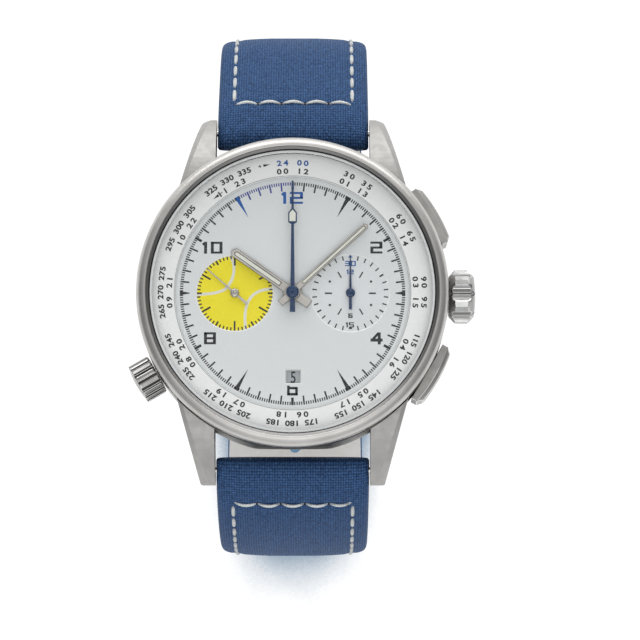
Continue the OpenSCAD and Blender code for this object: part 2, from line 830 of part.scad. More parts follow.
module fourth_wheel() {
  turn = mesh_turn(direction(third_at, fourth_at), 0, third_teeth, fourth_pinion_teeth);
  color("gold") {
    at(fourth_at) wheel(fourth_teeth, fine_m, 4.75, 4.95, 0, 4, 0.15);
    at(fourth_at) gear(fourth_pinion_teeth, train_m, 5.25, 5.75, turn);
    at(fourth_at) disc(0.32, bridge_z[1] + 0.1, plate_z[0] - 0.1);
    at(fourth_at) disc(pivot_r, 4.05, plate_z[0] - 0.1);
    at(fourth_at) disc(0.2, plate_z[0] - 0.2, 10.05);
  }
}

module escape_wheel() {
  turn = mesh_turn(direction(fourth_at, escape_at), 0, fourth_teeth, escape_pinion_teeth);
  phase = fork_dir + 31.5 - 4.5;
  step = 360 / escape_teeth;
  outline = [for (i = [0:escape_teeth - 1], k = [[-0.3, 1.2], [0, 1.7], [0.06, 1.7], [0.02, 1.2]])
    polar(k[1], (i + k[0]) * step)];
  color("silver") {
    at(escape_at) rotate([0, 0, phase]) difference() {
      plate(outline, 5.3, 5.46);
      for (i = [0:4]) {
        rotate([0, 0, i * 72]) translate([0.72, 0, 0]) disc(0.22, 5, 6);
      }
    }
    at(escape_at) gear(escape_pinion_teeth, fine_m, 4.65, 5.05, turn);
    arbor(escape_at, 4.05, 7.6);
  }
}

// Lever of the escapement: two pallet arms over the wheel and a fork towards the balance
module pallet_fork() {
  reach = 1.7 * tan(31.5);
  color("silver") at(fork_at) rotate([0, 0, fork_dir]) {
    link([0, 0], [1.75, 0], 0.4, 5.25, 5.45);
    for (s = [-1, 1]) {
      link([0, 0], [-0.42, s * reach * 0.93], 0.3, 5.5, 5.62);
      translate([-fork_gap, 0, 0]) rotate([0, 0, s * 31.5]) translate([1.73, -0.06, 5.28])
      cube([0.34, 0.12, 0.34]);
      translate([1.65, s > 0 ? 0.3 : -0.48, 5.25]) cube([0.42, 0.18, 0.2]);
    }
    translate([1.6, -0.48, 5.25]) cube([0.15, 0.96, 0.2]);
    disc(0.32, 5.1, 6.3);
    disc(pivot_r, 5.02, 7.2);
  }
}

module balance_wheel() {
  color("gold") at(balance_at) {
    washer(balance_r - 0.45, balance_r, 4.6, 4.95);
    for (i = [0:2]) {
      rotate([0, 0, 90 + i * 120]) translate([0, -0.2, 4.66]) cube([balance_r - 0.3, 0.4, 0.22]);
    }
    disc(0.35, 4.2, 6.3);
    disc(0.72, 5, 5.12);
    disc(pivot_r, 3.4, 7.4);
    rotate([0, 0, fork_dir + 180]) translate([0.5, 0, 0]) disc(0.08, 5.1, 5.45);
  }
}

module balance_spring() {
  color("steelblue") at(balance_at) {
    spiral(0.6, 2.2, 6, 0.05, 20, 4.25, 4.42);
    translate([2.1, -0.15, 3.9]) cube([0.3, 0.3, 0.52]);
  }
}

// Chronograph

module heart(r, z0, z1) {
  plate([for (i = [0:35]) polar(r * (0.45 + 0.55 * abs((i * 10) - 180) / 180), i * 10 + 90)], z0, z1);
}

module chrono_wheel() {
  color("gold") {
    wheel(100, 0.084, chrono_z[0], chrono_z[1], 0, 5, 0.15);
    heart(1.5, chrono_z[1], lever_z[1]);
    disc(0.22, chrono_z[0] - 0.1, 11.3);
    disc(0.28, lever_z[1], 3.95);
  }
}

module minute_counter_wheel() {
  color("gold") at(counter_at) {
    wheel(60, 0.07, chrono_z[0], chrono_z[1], 0, 4, 0.15);
    heart(1.1, chrono_z[1], lever_z[1]);
    disc(0.2, chrono_z[0], 10.12);
  }
}

module hour_counter_wheel() {
  color("gold") at(counter_at) difference() {
    union() {
      gear(40, 0.09, work_z, 8.7);
      heart(1.1, 8.7, 8.9);
      disc(0.42, 8.6, 9.88);
    }
    disc(0.24, 8, 11);
  }
}

module column_wheel() {
  n = 6;
  ratchet = [for (i = [0:2 * n - 1], k = [[0, 1.15], [0.85, 0.9]]) polar(k[1], (i + k[0]) * 180 / n)];
  color("steelblue") at(column_at) difference() {
    union() {
      plate(ratchet, 3.3, 3.5);
      for (i = [0:n - 1]) {
        rotate([0, 0, i * 360 / n]) plate([[0.45, -0.1], [0.85, -0.2], [0.85, 0.2], [0.45, 0.1]], 2.95, 3.4);
      }
      disc(0.5, 2.95, 3.4);
    }
    disc(0.38, 2, 4);
  }
}

// A lever that a pusher moves: its bent-up tab stands before the pusher's stem
module lever_base(s) {
  pivot = [lever_at[0], s * lever_at[1]];
  tab = [13.05, s * 7.55];
  link(pivot, tab, 1.1, lever_z[0], lever_z[1]);
  rotate([0, 0, s * 30]) translate([15.35, -1, lever_z[0]]) cube([0.35, 2, 3.75]);
  rotate([0, 0, s * 30]) translate([14.6, -1, lever_z[0]]) cube([1, 2, 0.22]);
}

module start_lever() {
  color("silver") difference() {
    union() {
      lever_base(1);
      link([13.05, 7.55], [12.1, 7.95], 0.7, lever_z[0], lever_z[1]);
    }
    at(lever_at) disc(0.43, 2, 5);
  }
}

module reset_hammer() {
  color("silver") difference() {
    union() {
      lever_base(-1);
      link([13.05, -7.55], [8.6, -6.4], 1.3, lever_z[0], lever_z[1]);
      link([8.6, -6.4], [3.4, -5], 1, lever_z[0], lever_z[1]);
      link([8.6, -6.4], [8.2, -3.9], 0.9, lever_z[0], lever_z[1]);
    }
    at([lever_at[0], -lever_at[1]]) disc(0.43, 2, 5);
  }
}

// Strap and buckle

module spring_bars() {
  color("silver") {
    for (s = [-1, 1]) {
      across(bar_r, s * bar_y, bar_z, 10.3);
      across(bar_tip_r, s * bar_y, bar_z, 12.2);
    }
    across(0.7, buckle_y, loop_z, 12.2);
  }
}

function turn_of(g) = g[0] == 0 ? 0 : g[0] > 0 ? g[1] : -g[1];
function run_of(g) = g[0] == 0 ? g[1] : abs(g[0]) * g[1] * PI / 180;
function route_length(route) = sum([for (g = route) run_of(g)], len(route) - 1);

// Place and heading after the distance s along one arc or straight
function step_along(p, a, g, s) = g[0] == 0 ? [p + s * [cos(a), sin(a)], a]
  : let (t = s / g[0] * 180 / PI) [p + g[0] * [sin(a) - sin(a - t), cos(a - t) - cos(a)], a - t];
function walk(p, a, route, s, i = 0) = let (run = run_of(route[i]))
  s <= run || i == len(route) - 1 ? step_along(p, a, route[i], s)
  : let (e = step_along(p, a, route[i], run)) walk(e[0], e[1], route, s - run, i + 1);
function place(route, start, s) = walk([bar_y, bar_z], start, route, s);

function strap_thick(s) = s < 12 ? strap_t
  : max(strap_end_t, strap_t - (strap_t - strap_end_t) * (s - 12) / 40);
function strap_wide(s) = s < 24 ? strap_w
  : max(strap_end_w, strap_w - (strap_w - strap_end_w) * (s - 24) / 50);
function signed_power(v, e) = sign(v) * pow(abs(v), e);

// One ring of the strap: rounded edges and a low crown, square to the route
function strap_ring(e, w, t, sides) = [for (k = [0:sides - 1]) let (a = (k + 0.5) * 360 / sides,
  x = w / 2 * signed_power(cos(a), 0.3), h = t / 2 * signed_power(sin(a), 0.55))
  [x, e[0][0] - h * sin(e[1]), e[0][1] + h * cos(e[1])]];

// Lengths along the route at which the rings stand, closer at the round ends
function stations(from, to) = concat([from, from + 0.35, from + 1],
  [for (s = [from + 2.2:strap_step:to - 2.4]) s], [to - 1, to - 0.35, to]);
function end_scale(s, from, to, r) = let (d = min(s - from, to - s)) d >= r ? 1
  : sqrt(1 - pow(1 - d / r, 2)) * 0.85 + 0.15;

module strap(route, start, from, to, point) {
  sides = 16;
  list = stations(from, to);
  rings = [for (s = list) let (r = s < 5 ? 2 : 1) strap_ring(place(route, start, s),
    strap_wide(s) * (point > 0 ? min(1, 0.25 + sqrt(max(0, to - s) / point)) : 1) - (s == from ? 0.5 : 0),
    strap_thick(s) * end_scale(s, from, to, strap_thick(s) / 2), sides)];
  n = len(rings);
  points = [for (ring = rings, p = ring) p];
  sides_faces = [for (i = [0:n - 2], k = [0:sides - 1], h = [0, 1]) let (a = i * sides + k,
    b = i * sides + (k + 1) % sides) h == 0 ? [a, b, b + sides] : [a, b + sides, a + sides]];
  caps = [for (k = [1:sides - 2], h = [0, 1]) h == 0 ? [0, k + 1, k]
    : [(n - 1) * sides, (n - 1) * sides + k, (n - 1) * sides + k + 1]];
  polyhedron(points, concat(sides_faces, caps));
}

module upper_strap() {
  end = route_length(upper_route);
  color("navy") difference() {
    strap(upper_route, upper_start, -2.6, end + 1.2, 0);
    across(bar_r + 0.05, bar_y, bar_z, 14);
    across(0.75, buckle_y, loop_z, 14);
    translate([-1.3, buckle_y - 2, loop_z - 2]) cube([2.6, 4.6, 4]);
  }
}

module strap_hole(s, w, l) {
  e = place(lower_route, lower_start, s);
  translate([0, e[0][0], e[0][1]]) rotate([e[1], 0, 0]) {
    translate([0, -(l - w) / 2, -3]) cylinder(d = w, h = 6, $fn = 24);
    translate([0, (l - w) / 2, -3]) cylinder(d = w, h = 6, $fn = 24);
    translate([-w / 2, -(l - w) / 2, -3]) cube([w, l - w, 6]);
  }
}

module lower_strap() {
  end = route_length(lower_route);
  color("navy") mirror([0, 1, 0]) difference() {
    strap(lower_route, lower_start, -1.9, end, 9);
    across(bar_r + 0.05, bar_y, bar_z, 14);
    for (i = [-2:3]) {
      if (i != 0) strap_hole(used_hole + i * hole_pitch, 1.8, 2.4);
    }
    strap_hole(used_hole, 2.1, 4.8);
  }
}

frame_y = -9.5;
frame_z = base_z + 1.2;
arm_angle = atan2(frame_z - loop_z, frame_y - buckle_y);
arm_length = norm([frame_y - buckle_y, frame_z - loop_z]);
tongue_tip = [frame_y - 1.1, base_z + 0.35];
tongue_angle = atan2(tongue_tip[1] - loop_z + 0.3, tongue_tip[0] - buckle_y);
tongue_length = norm([tongue_tip[0] - buckle_y, tongue_tip[1] - loop_z + 0.3]);

module buckle_frame() {
  color("silver") difference() {
    union() {
      for (x = [-12.3, 10.5]) {
        translate([x, 0, 0]) {
          translate([0, buckle_y, loop_z]) rotate([0, 90, 0]) cylinder(r = 1.3, h = 1.8);
          translate([0, frame_y, frame_z]) rotate([0, 90, 0]) cylinder(r = 1.2, h = 1.8);
          translate([0, buckle_y, loop_z]) rotate([arm_angle, 0, 0]) translate([0, 0, -1.2])
          cube([1.8, arm_length, 2.4]);
        }
      }
      across(1.2, frame_y, frame_z, 12.3);
    }
    across(0.75, buckle_y, loop_z, 14);
    along_tongue() translate([-1.05, tongue_length - 4, -0.4]) cube([2.1, 6, 6]);
  }
}

// Frame of the tongue: +Y from its pivot to its tip, +Z outwards
module along_tongue() {
  translate([0, buckle_y, loop_z - 0.3]) rotate([tongue_angle, 0, 0]) children();
}

module buckle_tongue() {
  color("silver") difference() {
    union() {
      translate([-0.85, buckle_y, loop_z]) rotate([0, 90, 0]) cylinder(r = 1.2, h = 1.7);
      along_tongue() translate([-0.85, 0, -0.35]) cube([1.7, tongue_length, 0.7]);
    }
    across(0.75, buckle_y, loop_z, 14);
  }
}

function box_points(w, h, r) = concat(arc([w / 2 - r, h / 2 - r], r, 0, 90, 4),
  arc([r - w / 2, h / 2 - r], r, 90, 180, 4),
  arc([r - w / 2, r - h / 2], r, 180, 270, 4), arc([w / 2 - r, r - h / 2], r, 270, 360, 4));

module keeper(y0, length) {
  top = loop_z + strap_end_t / 2 + 0.2;
  bottom = base_z + 0.95;
  height = top - bottom;
  wall = 0.95;
  translate([0, y0 + length, (top + bottom) / 2]) rotate([90, 0, 0]) difference() {
    linear_extrude(length) polygon(box_points(20.5 + 2 * wall, height + 2 * wall, 1.4));
    translate([0, 0, -past]) linear_extrude(length + 2 * past) polygon(box_points(20.5, height, 0.6));
  }
}

module fixed_keeper() {
  color("navy") keeper(5, 5);
}

module free_keeper() {
  color("navy") keeper(13.5, 5);
}

mid_case();
bezel();
crystal();
crystal_gasket();
case_back();
back_crystal();
back_gasket();
case_tubes();
movement_ring();
dial();
time_ring();
corrector();
corrector_stem();
crown();
winding_stem();
clutch_wheel();
winding_pinion();
crown_wheel();
transfer_wheel();
ratchet_wheel();
barrel();
mainspring();
centre_wheel();
third_wheel();
fourth_wheel();
escape_wheel();
pallet_fork();
balance_wheel();
balance_spring();
balance_cock();
train_bridge();
barrel_bridge();
main_plate();
cannon_pinion();
minute_wheel();
hour_wheel();
date_disc();
chrono_wheel();
minute_counter_wheel();
hour_counter_wheel();
column_wheel();
start_lever();
reset_hammer();
rotor_bridge();
rotor();
hour_hand();
minute_hand();
chrono_hand();
small_seconds_hand();
minute_counter_hand();
hour_counter_hand();
start_pusher();
reset_pusher();
spring_bars();
upper_strap();
lower_strap();
buckle_frame();
buckle_tongue();
fixed_keeper();
free_keeper();
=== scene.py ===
import bpy
import bmesh
import math
from mathutils import Matrix, Vector


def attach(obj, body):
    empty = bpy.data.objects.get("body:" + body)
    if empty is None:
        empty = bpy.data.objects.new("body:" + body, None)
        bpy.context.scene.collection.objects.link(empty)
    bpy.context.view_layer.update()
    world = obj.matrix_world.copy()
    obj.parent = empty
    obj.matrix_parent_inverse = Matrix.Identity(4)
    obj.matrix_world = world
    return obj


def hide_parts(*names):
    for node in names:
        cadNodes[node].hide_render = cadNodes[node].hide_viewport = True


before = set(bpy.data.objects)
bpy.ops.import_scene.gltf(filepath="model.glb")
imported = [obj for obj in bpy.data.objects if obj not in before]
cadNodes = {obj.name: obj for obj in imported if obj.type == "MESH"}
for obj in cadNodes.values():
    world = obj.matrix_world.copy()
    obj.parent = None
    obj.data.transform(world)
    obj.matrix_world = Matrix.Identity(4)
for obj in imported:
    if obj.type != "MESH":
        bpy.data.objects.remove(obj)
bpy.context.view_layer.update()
print("frame loaded:", len(cadNodes), "nodes")

mm = 0.001  # shapes are drawn in millimetres and scaled as they are finished
zero = (0, 0, 0)


# node helpers: an input given as a socket is linked, any other value is set
def fillInput(tree, target, value):
    if isinstance(value, bpy.types.NodeSocket):
        tree.links.new(value, target)
    else:
        target.default_value = value


def addNode(tree, kind, inputs=None, **settings):
    node = tree.nodes.new(kind if kind.startswith("NodeGroup") else "ShaderNode" + kind)
    for key, value in settings.items():
        setattr(node, key, value)
    for key, value in (inputs or {}).items():
        fillInput(tree, node.inputs[key], value)
    return node


def addMath(tree, operation, *values):
    return addNode(tree, "Math", dict(enumerate(values)), operation=operation).outputs[0]


def addVector(tree, operation, *values):
    keys = (0, "Scale") if operation == "SCALE" else (0, 1)
    node = addNode(tree, "VectorMath", dict(zip(keys, values)), operation=operation)
    return node.outputs["Value" if operation in ("LENGTH", "DOT_PRODUCT") else "Vector"]


def addRange(tree, value, low, high, start=0.0, end=1.0):
    ends = {"Value": value, "From Min": low, "From Max": high, "To Min": start, "To Max": end}
    return addNode(tree, "MapRange", ends).outputs[0]


def addMix(tree, factor, first, second, **settings):
    return addNode(tree, "Mix", {0: factor, 6: first, 7: second}, data_type="RGBA", **settings).outputs[2]


# distance from the Z axis
def flatRadius(tree, place):
    return addVector(tree, "LENGTH", addVector(tree, "MULTIPLY", place, (1, 1, 0)))


# a group's inputs are given with their starting values, which also say their kind
def newGroup(name, inputs, outputs):
    group = bpy.data.node_groups.new(name, "ShaderNodeTree")
    for label, value in inputs.items():
        size = 1 if isinstance(value, float) else len(value)
        kind = {1: "NodeSocketFloat", 3: "NodeSocketVector", 4: "NodeSocketColor"}[size]
        group.interface.new_socket(name=label, in_out="INPUT", socket_type=kind).default_value = value
    for label in outputs:
        kind = "NodeSocketColor" if label == "Color" else "NodeSocketFloat"
        group.interface.new_socket(name=label, in_out="OUTPUT", socket_type=kind)
    return group, addNode(group, "NodeGroupInput").outputs


# height and roughness of a grain, from noise over the given place
def addGrain(group, given, place, detail, **more):
    noise = addNode(group, "TexNoise", {"Vector": place, "Scale": 1.0, "Detail": detail}).outputs["Fac"]
    spread = addRange(group, noise, 0.35, 0.65, given["Low"], given["High"])
    addNode(group, "NodeGroupOutput", {"Height": noise, "Roughness": spread, **more})


# straight brushing: noise drawn out along one direction
def makeBrushedGrain():
    group, given = newGroup("brushedGrain", {"Vector": zero, "Stretch": (400, 400, 9000), "Low": 0.3,
                                             "High": 0.45}, ("Height", "Roughness"))
    addGrain(group, given, addVector(group, "MULTIPLY", given["Vector"], given["Stretch"]), 3.0)
    return group


# round brushing about an axis through Centre, lines of equal radius and height
def makeTurnedGrain():
    group, given = newGroup("turnedGrain", {"Vector": zero, "Centre": zero, "Lines": 9000.0, "Low": 0.25,
                                            "High": 0.4}, ("Height", "Roughness", "Radius"))
    shift = addVector(group, "SUBTRACT", given["Vector"], given["Centre"])
    radius = flatRadius(group, shift)
    height = addNode(group, "SeparateXYZ", {0: shift}).outputs["Z"]
    place = addNode(group, "CombineXYZ", {"X": radius, "Y": height}).outputs[0]
    addGrain(group, given, addVector(group, "SCALE", place, given["Lines"]), 2.0, Radius=radius)
    return group


# distance from an axis through Centre, for the hollows of fluted parts
def makeAxisDistance():
    group, given = newGroup("axisDistance", {
        "Vector": zero, "Centre": zero, "Axis": (1, 0, 0), "Normal": zero, "Valley": 0.002,
        "Crest": 0.003}, ("Mask",))
    shift = addVector(group, "SUBTRACT", given["Vector"], given["Centre"])
    along = addVector(group, "PROJECT", shift, given["Axis"])
    reach = addVector(group, "LENGTH", addVector(group, "SUBTRACT", shift, along))
    spread = addRange(group, reach, given["Valley"], given["Crest"])
    # end faces keep their tone
    facing = addMath(group, "ABSOLUTE", addVector(group, "DOT_PRODUCT", given["Normal"], given["Axis"]))
    addNode(group, "NodeGroupOutput", {"Mask": addMath(group, "MAXIMUM", spread, facing)})
    return group


# slow change of tone over a surface
def makeToneDrift():
    group, given = newGroup("toneDrift", {"Vector": zero, "Scale": 150.0, "Dark": (0.5, 0.5, 0.5, 1),
                                          "Light": (0.6, 0.6, 0.6, 1)}, ("Color", "Factor"))
    noise = addNode(group, "TexNoise", {"Vector": given["Vector"], "Scale": given["Scale"], "Detail": 4.0,
                                        "Roughness": 0.6}).outputs["Fac"]
    spread = addRange(group, noise, 0.3, 0.7)
    addNode(group, "NodeGroupOutput", {"Color": addMix(group, spread, given["Dark"], given["Light"]),
                                       "Factor": spread})
    return group


# plain weave: crossing threads, over and under, from a UV map in thread counts
def makeClothWeave():
    group, given = newGroup("clothWeave", {"Vector": zero}, ("Height",))
    parts = addNode(group, "SeparateXYZ", {0: given["Vector"]}).outputs
    waves = [addMath(group, "SINE", addMath(group, "MULTIPLY", parts[axis], math.pi)) for axis in "XY"]
    ridges = [addMath(group, "ABSOLUTE", wave) for wave in waves]
    over = addRange(group, addMath(group, "MULTIPLY", *waves), -0.12, 0.12)
    pick = addNode(group, "Mix", {0: over, 2: ridges[0], 3: ridges[1]})
    addNode(group, "NodeGroupOutput", {"Height": pick.outputs[0]})
    return group


brushedGrain = makeBrushedGrain()
turnedGrain = makeTurnedGrain()
axisDistance = makeAxisDistance()
toneDrift = makeToneDrift()
clothWeave = makeClothWeave()


# sets or links the material's own shader sockets, underscores standing for the spaces in their names
def setShader(mat, **sockets):
    tree = mat.node_tree
    for key, value in sockets.items():
        fillInput(tree, tree.nodes["Principled BSDF"].inputs[key.replace("_", " ")], value)


def newMaterial(name, color, roughness, metallic=0.0, **sockets):
    mat = bpy.data.materials.new(name)
    mat.use_nodes = True
    setShader(mat, Base_Color=(*color, 1), Roughness=roughness, Metallic=metallic, **sockets)
    return mat


def objectPlace(mat):
    return addNode(mat.node_tree, "TexCoord").outputs["Object"]


def addBump(mat, height, distance, strength=1.0):
    bump = addNode(mat.node_tree, "Bump", {"Height": height, "Distance": distance, "Strength": strength})
    setShader(mat, Normal=bump.outputs[0])


def addDrift(mat, place, dark, light, scale):
    ends = {"Vector": place, "Scale": scale, "Dark": (*dark, 1), "Light": (*light, 1)}
    return addNode(mat.node_tree, "Group", ends, node_tree=toneDrift).outputs


# the base colour drifts slowly between two tones
def tint(mat, place, dark, light, scale):
    drift = addDrift(mat, place, dark, light, scale)
    setShader(mat, Base_Color=drift["Color"])
    return drift["Factor"]


# the base colour runs from dark to light with a factor
def blendBase(mat, factor, dark, light):
    setShader(mat, Base_Color=addMix(mat.node_tree, factor, (*dark, 1), (*light, 1)))


# the base takes the colour where the mask is 0 and stays as it was where it is 1
def recolor(mat, mask, color):
    base = mat.node_tree.nodes["Principled BSDF"].inputs["Base Color"]
    setShader(mat, Base_Color=addMix(mat.node_tree, mask, (*color, 1), base.links[0].from_socket))


# the material's own shader mixed with another one
def mixSurface(mat, factor, other):
    tree = mat.node_tree
    own = tree.nodes["Principled BSDF"]
    mix = addNode(tree, "MixShader", {0: factor, 1: own.outputs[0], 2: other.outputs[0]})
    tree.links.new(mix.outputs[0], tree.nodes["Material Output"].inputs["Surface"])


def grainMetal(name, dark, light, low, high, depth, group, **shape):
    mat = newMaterial(name, light, (low + high) / 2, 1.0)
    place = objectPlace(mat)
    tint(mat, place, dark, light, 260)
    ends = {"Vector": place, "Low": low, "High": high, **shape}
    grain = addNode(mat.node_tree, "Group", ends, node_tree=group)
    setShader(mat, Roughness=grain.outputs["Roughness"])
    addBump(mat, grain.outputs["Height"], depth)
    return mat


def brushedMetal(name, dark, light, low, high, stretch, depth=0.000004):
    return grainMetal(name, dark, light, low, high, depth, brushedGrain, Stretch=stretch)


def turnedMetal(name, dark, light, low, high, lines=9000.0, centre=zero):
    return grainMetal(name, dark, light, low, high, 0.000004, turnedGrain, Lines=lines, Centre=centre)


def paint(name, dark, light, roughness, scale=600, coat=0.0, grain=0.0):
    mat = newMaterial(name, light, roughness, Coat_Weight=coat)
    factor = tint(mat, objectPlace(mat), dark, light, scale)
    if grain:
        addBump(mat, factor, grain)
    return mat


# stripes of the movement's plates, as a cutter leaves them
def stripedPlate(name, dark, light, pitch, angle):
    mat = newMaterial(name, light, 0.3, 1.0)
    tree = mat.node_tree
    turn = addNode(tree, "Mapping", {"Vector": objectPlace(mat), "Rotation": (0, 0, math.radians(angle))})
    ownPitch = 0.314  # of the wave texture at scale 1
    wave = addNode(tree, "TexWave", {"Vector": turn.outputs[0], "Scale": ownPitch / (pitch * mm),
                                     "Distortion": 0.0}, wave_profile="SAW").outputs["Fac"]
    blendBase(mat, wave, dark, light)
    addBump(mat, wave, 0.00003)
    return mat


# round spots of a pearled main plate
def pearledPlate(name, dark, light, pitch):
    mat = newMaterial(name, light, 0.35, 1.0)
    tree = mat.node_tree
    spots = addNode(tree, "TexVoronoi", {"Vector": objectPlace(mat), "Scale": 1 / (pitch * mm),
                                         "Randomness": 0.25}).outputs["Distance"]
    blendBase(mat, spots, dark, light)
    addBump(mat, addMath(tree, "SINE", addMath(tree, "MULTIPLY", spots, 30.0)), 0.000006)
    return mat


# clear to shadow and diffuse rays, so that the dial under it stays lit
def clearGlass(name):
    mat = newMaterial(name, (1, 1, 1), 0.0, Transmission_Weight=1.0, IOR=1.02, Coat_Weight=0.08,
                      Coat_Roughness=0.0)
    tree = mat.node_tree
    rays = addNode(tree, "LightPath").outputs
    either = addMath(tree, "MAXIMUM", rays["Is Shadow Ray"], rays["Is Diffuse Ray"])
    mixSurface(mat, either, addNode(tree, "BsdfTransparent"))
    return mat


# woven cloth, its threads from the strap's own UV map
def canvas(name, dark, light):
    mat = newMaterial(name, light, 0.62, Specular_IOR_Level=0.16)
    tree = mat.node_tree
    cloth = addNode(tree, "UVMap", uv_map="clothMap").outputs[0]
    weave = addNode(tree, "Group", {"Vector": cloth}, node_tree=clothWeave).outputs["Height"]
    drift = addDrift(mat, objectPlace(mat), (0.5, 0.52, 0.55), (1.5, 1.48, 1.42), 2600)["Color"]
    # the weave darker where its threads dip: painted shade in the gaps between threads
    woven = addMix(tree, weave, (*dark, 1), (*light, 1))
    setShader(mat, Base_Color=addMix(tree, 1.0, woven, drift, blend_type="MULTIPLY"))
    addBump(mat, weave, 0.00012, 0.8)
    return mat


def leather(name, dark, light, pores):
    mat = newMaterial(name, light, 0.55)
    place = objectPlace(mat)
    tint(mat, place, dark, light, 500)
    edges = addNode(mat.node_tree, "TexVoronoi", {"Vector": place, "Scale": pores}, feature="DISTANCE_TO_EDGE")
    addBump(mat, edges.outputs["Distance"], 0.00008, 0.6)
    return mat


def thread(name, dark, light):
    mat = newMaterial(name, light, 0.6, Sheen_Weight=0.5, Sheen_Roughness=0.5)
    tree = mat.node_tree
    cloth = addNode(tree, "UVMap", uv_map="clothMap").outputs[0]
    ply = addNode(tree, "TexWave", {"Vector": cloth, "Scale": 0.9, "Distortion": 0.4},
                  bands_direction="DIAGONAL").outputs["Fac"]
    blendBase(mat, ply, dark, light)
    addBump(mat, ply, 0.00008)
    return mat


# each finish: its maker, then dark and light tone and the rest of what the maker takes, in its order
finishSpec = {
    "steelBrushed": (brushedMetal, (0.36, 0.35, 0.335), (0.46, 0.45, 0.43), 0.34, 0.5, (600, 600, 7000)),
    "steelCrown": (brushedMetal, (0.42, 0.42, 0.41), (0.54, 0.54, 0.53), 0.16, 0.28, (900, 900, 900), 0.000001),
    "steelFluted": (brushedMetal, (0.32, 0.31, 0.3), (0.45, 0.44, 0.43), 0.26, 0.4, (600, 600, 5000)),
    "steelLug": (brushedMetal, (0.43, 0.42, 0.405), (0.48, 0.47, 0.455), 0.5, 0.6, (900, 900, 900)),
    "steelBezel": (turnedMetal, (0.52, 0.505, 0.485), (0.6, 0.585, 0.565), 0.3, 0.42),
    "steelBezelTop": (turnedMetal, (0.52, 0.505, 0.485), (0.6, 0.585, 0.565), 0.3, 0.42),
    "steelPolished": (brushedMetal, (0.6, 0.6, 0.58), (0.68, 0.67, 0.66), 0.1, 0.18, (900, 900, 900), 0.000001),
    "steelMovement": (brushedMetal, (0.5, 0.5, 0.5), (0.62, 0.62, 0.62), 0.18, 0.32, (9000, 600, 600)),
    "brassGilt": (turnedMetal, (0.62, 0.44, 0.18), (0.76, 0.57, 0.27), 0.25, 0.36),
    "bluedSteel": (brushedMetal, (0.02, 0.05, 0.3), (0.04, 0.1, 0.5), 0.16, 0.28, (3000, 900, 900)),
    "handSteel": (brushedMetal, (0.42, 0.4, 0.37), (0.53, 0.51, 0.475), 0.3, 0.42, (2000, 2000, 2000), 0.000002),
    # dark steel of the hands' chamfers and slot walls: painted shade and dark reflection
    "handEdgeShade": (brushedMetal, (0.11, 0.1, 0.09), (0.17, 0.16, 0.145), 0.3, 0.42, (2000, 2000, 2000), 0.000002),
    "nickelStripes": (stripedPlate, (0.5, 0.49, 0.47), (0.68, 0.66, 0.64), 1.5, 25),
    "rotorStripes": (stripedPlate, (0.42, 0.42, 0.43), (0.62, 0.62, 0.62), 1.1, -30),
    "pearledNickel": (pearledPlate, (0.62, 0.6, 0.57), (0.46, 0.45, 0.43), 1.3),
    "sapphire": (clearGlass,),
    "rubberBlack": (paint, (0.012, 0.012, 0.013), (0.025, 0.025, 0.026), 0.6),
    "gasketPale": (paint, (0.78, 0.8, 0.8), (0.84, 0.86, 0.86), 0.5),
    "dialSilver": (paint, (0.755, 0.78, 0.785), (0.775, 0.8, 0.8), 0.45, 3000, 0.0, 0.0000008),
    "dialCounter": (turnedMetal, (0.74, 0.77, 0.78), (0.8, 0.82, 0.83), 0.4, 0.5, 8000, (8.15 * mm, 0, 0)),
    "ringWhite": (paint, (0.92, 0.93, 0.92), (0.96, 0.97, 0.95), 0.45, 2500),
    "yellowPaint": (paint, (0.93, 0.79, 0.035), (0.97, 0.86, 0.05), 0.55, 2500, 0.0, 0.000001),
    "seamPaint": (paint, (0.74, 0.74, 0.66), (0.82, 0.82, 0.74), 0.5, 3000),
    "printBlack": (paint, (0.01, 0.012, 0.014), (0.018, 0.02, 0.022), 0.5),
    "printBlue": (paint, (0.01, 0.085, 0.33), (0.014, 0.12, 0.42), 0.45),
    "printViolet": (paint, (0.035, 0.05, 0.26), (0.05, 0.07, 0.33), 0.35),
    "printGrey": (paint, (0.3, 0.31, 0.32), (0.36, 0.37, 0.38), 0.4),
    "dateGrey": (paint, (0.42, 0.45, 0.47), (0.48, 0.51, 0.53), 0.5),
    "navyEnamel": (paint, (0.006, 0.03, 0.09), (0.01, 0.042, 0.12), 0.35, 900, 0.1),
    "lume": (paint, (0.74, 0.75, 0.66), (0.84, 0.85, 0.76), 0.7, 4000, 0.0, 0.00001),
    # near black beads that paint the shade in the stitches' pricked holes
    "prickShade": (paint, (0.002, 0.005, 0.014), (0.004, 0.009, 0.022), 0.8),
    "strapCanvas": (canvas, (0.008, 0.026, 0.076), (0.056, 0.132, 0.31)),
    "strapLining": (leather, (0.86, 0.85, 0.82), (0.93, 0.92, 0.9), 2600),
    "keeperLeather": (leather, (0.014, 0.03, 0.085), (0.03, 0.06, 0.15), 3200),
    "creamThread": (thread, (0.9, 0.94, 0.92), (0.99, 1.0, 0.98)),
}
finishes = {name: maker(name, *given) for name, (maker, *given) in finishSpec.items()}
finishes["ruby"] = newMaterial("ruby", (0.55, 0.01, 0.06), 0.05, Transmission_Weight=0.4, Coat_Weight=0.6)
setShader(finishes["dialCounter"], Metallic=0.0)
setShader(finishes["yellowPaint"], Specular_IOR_Level=0.2)
print("materials made")


# a turned metal takes the colour inside a radius: painted shade on the bezel's inner step and in the gap next to
# the glass
def lineInside(mat, radius, color, soft=0.03):
    tree = mat.node_tree
    grain = next(node for node in tree.nodes if node.type == "GROUP" and node.node_tree == turnedGrain)
    recolor(mat, addRange(tree, grain.outputs["Radius"], (radius - soft) * mm, (radius + soft) * mm), color)


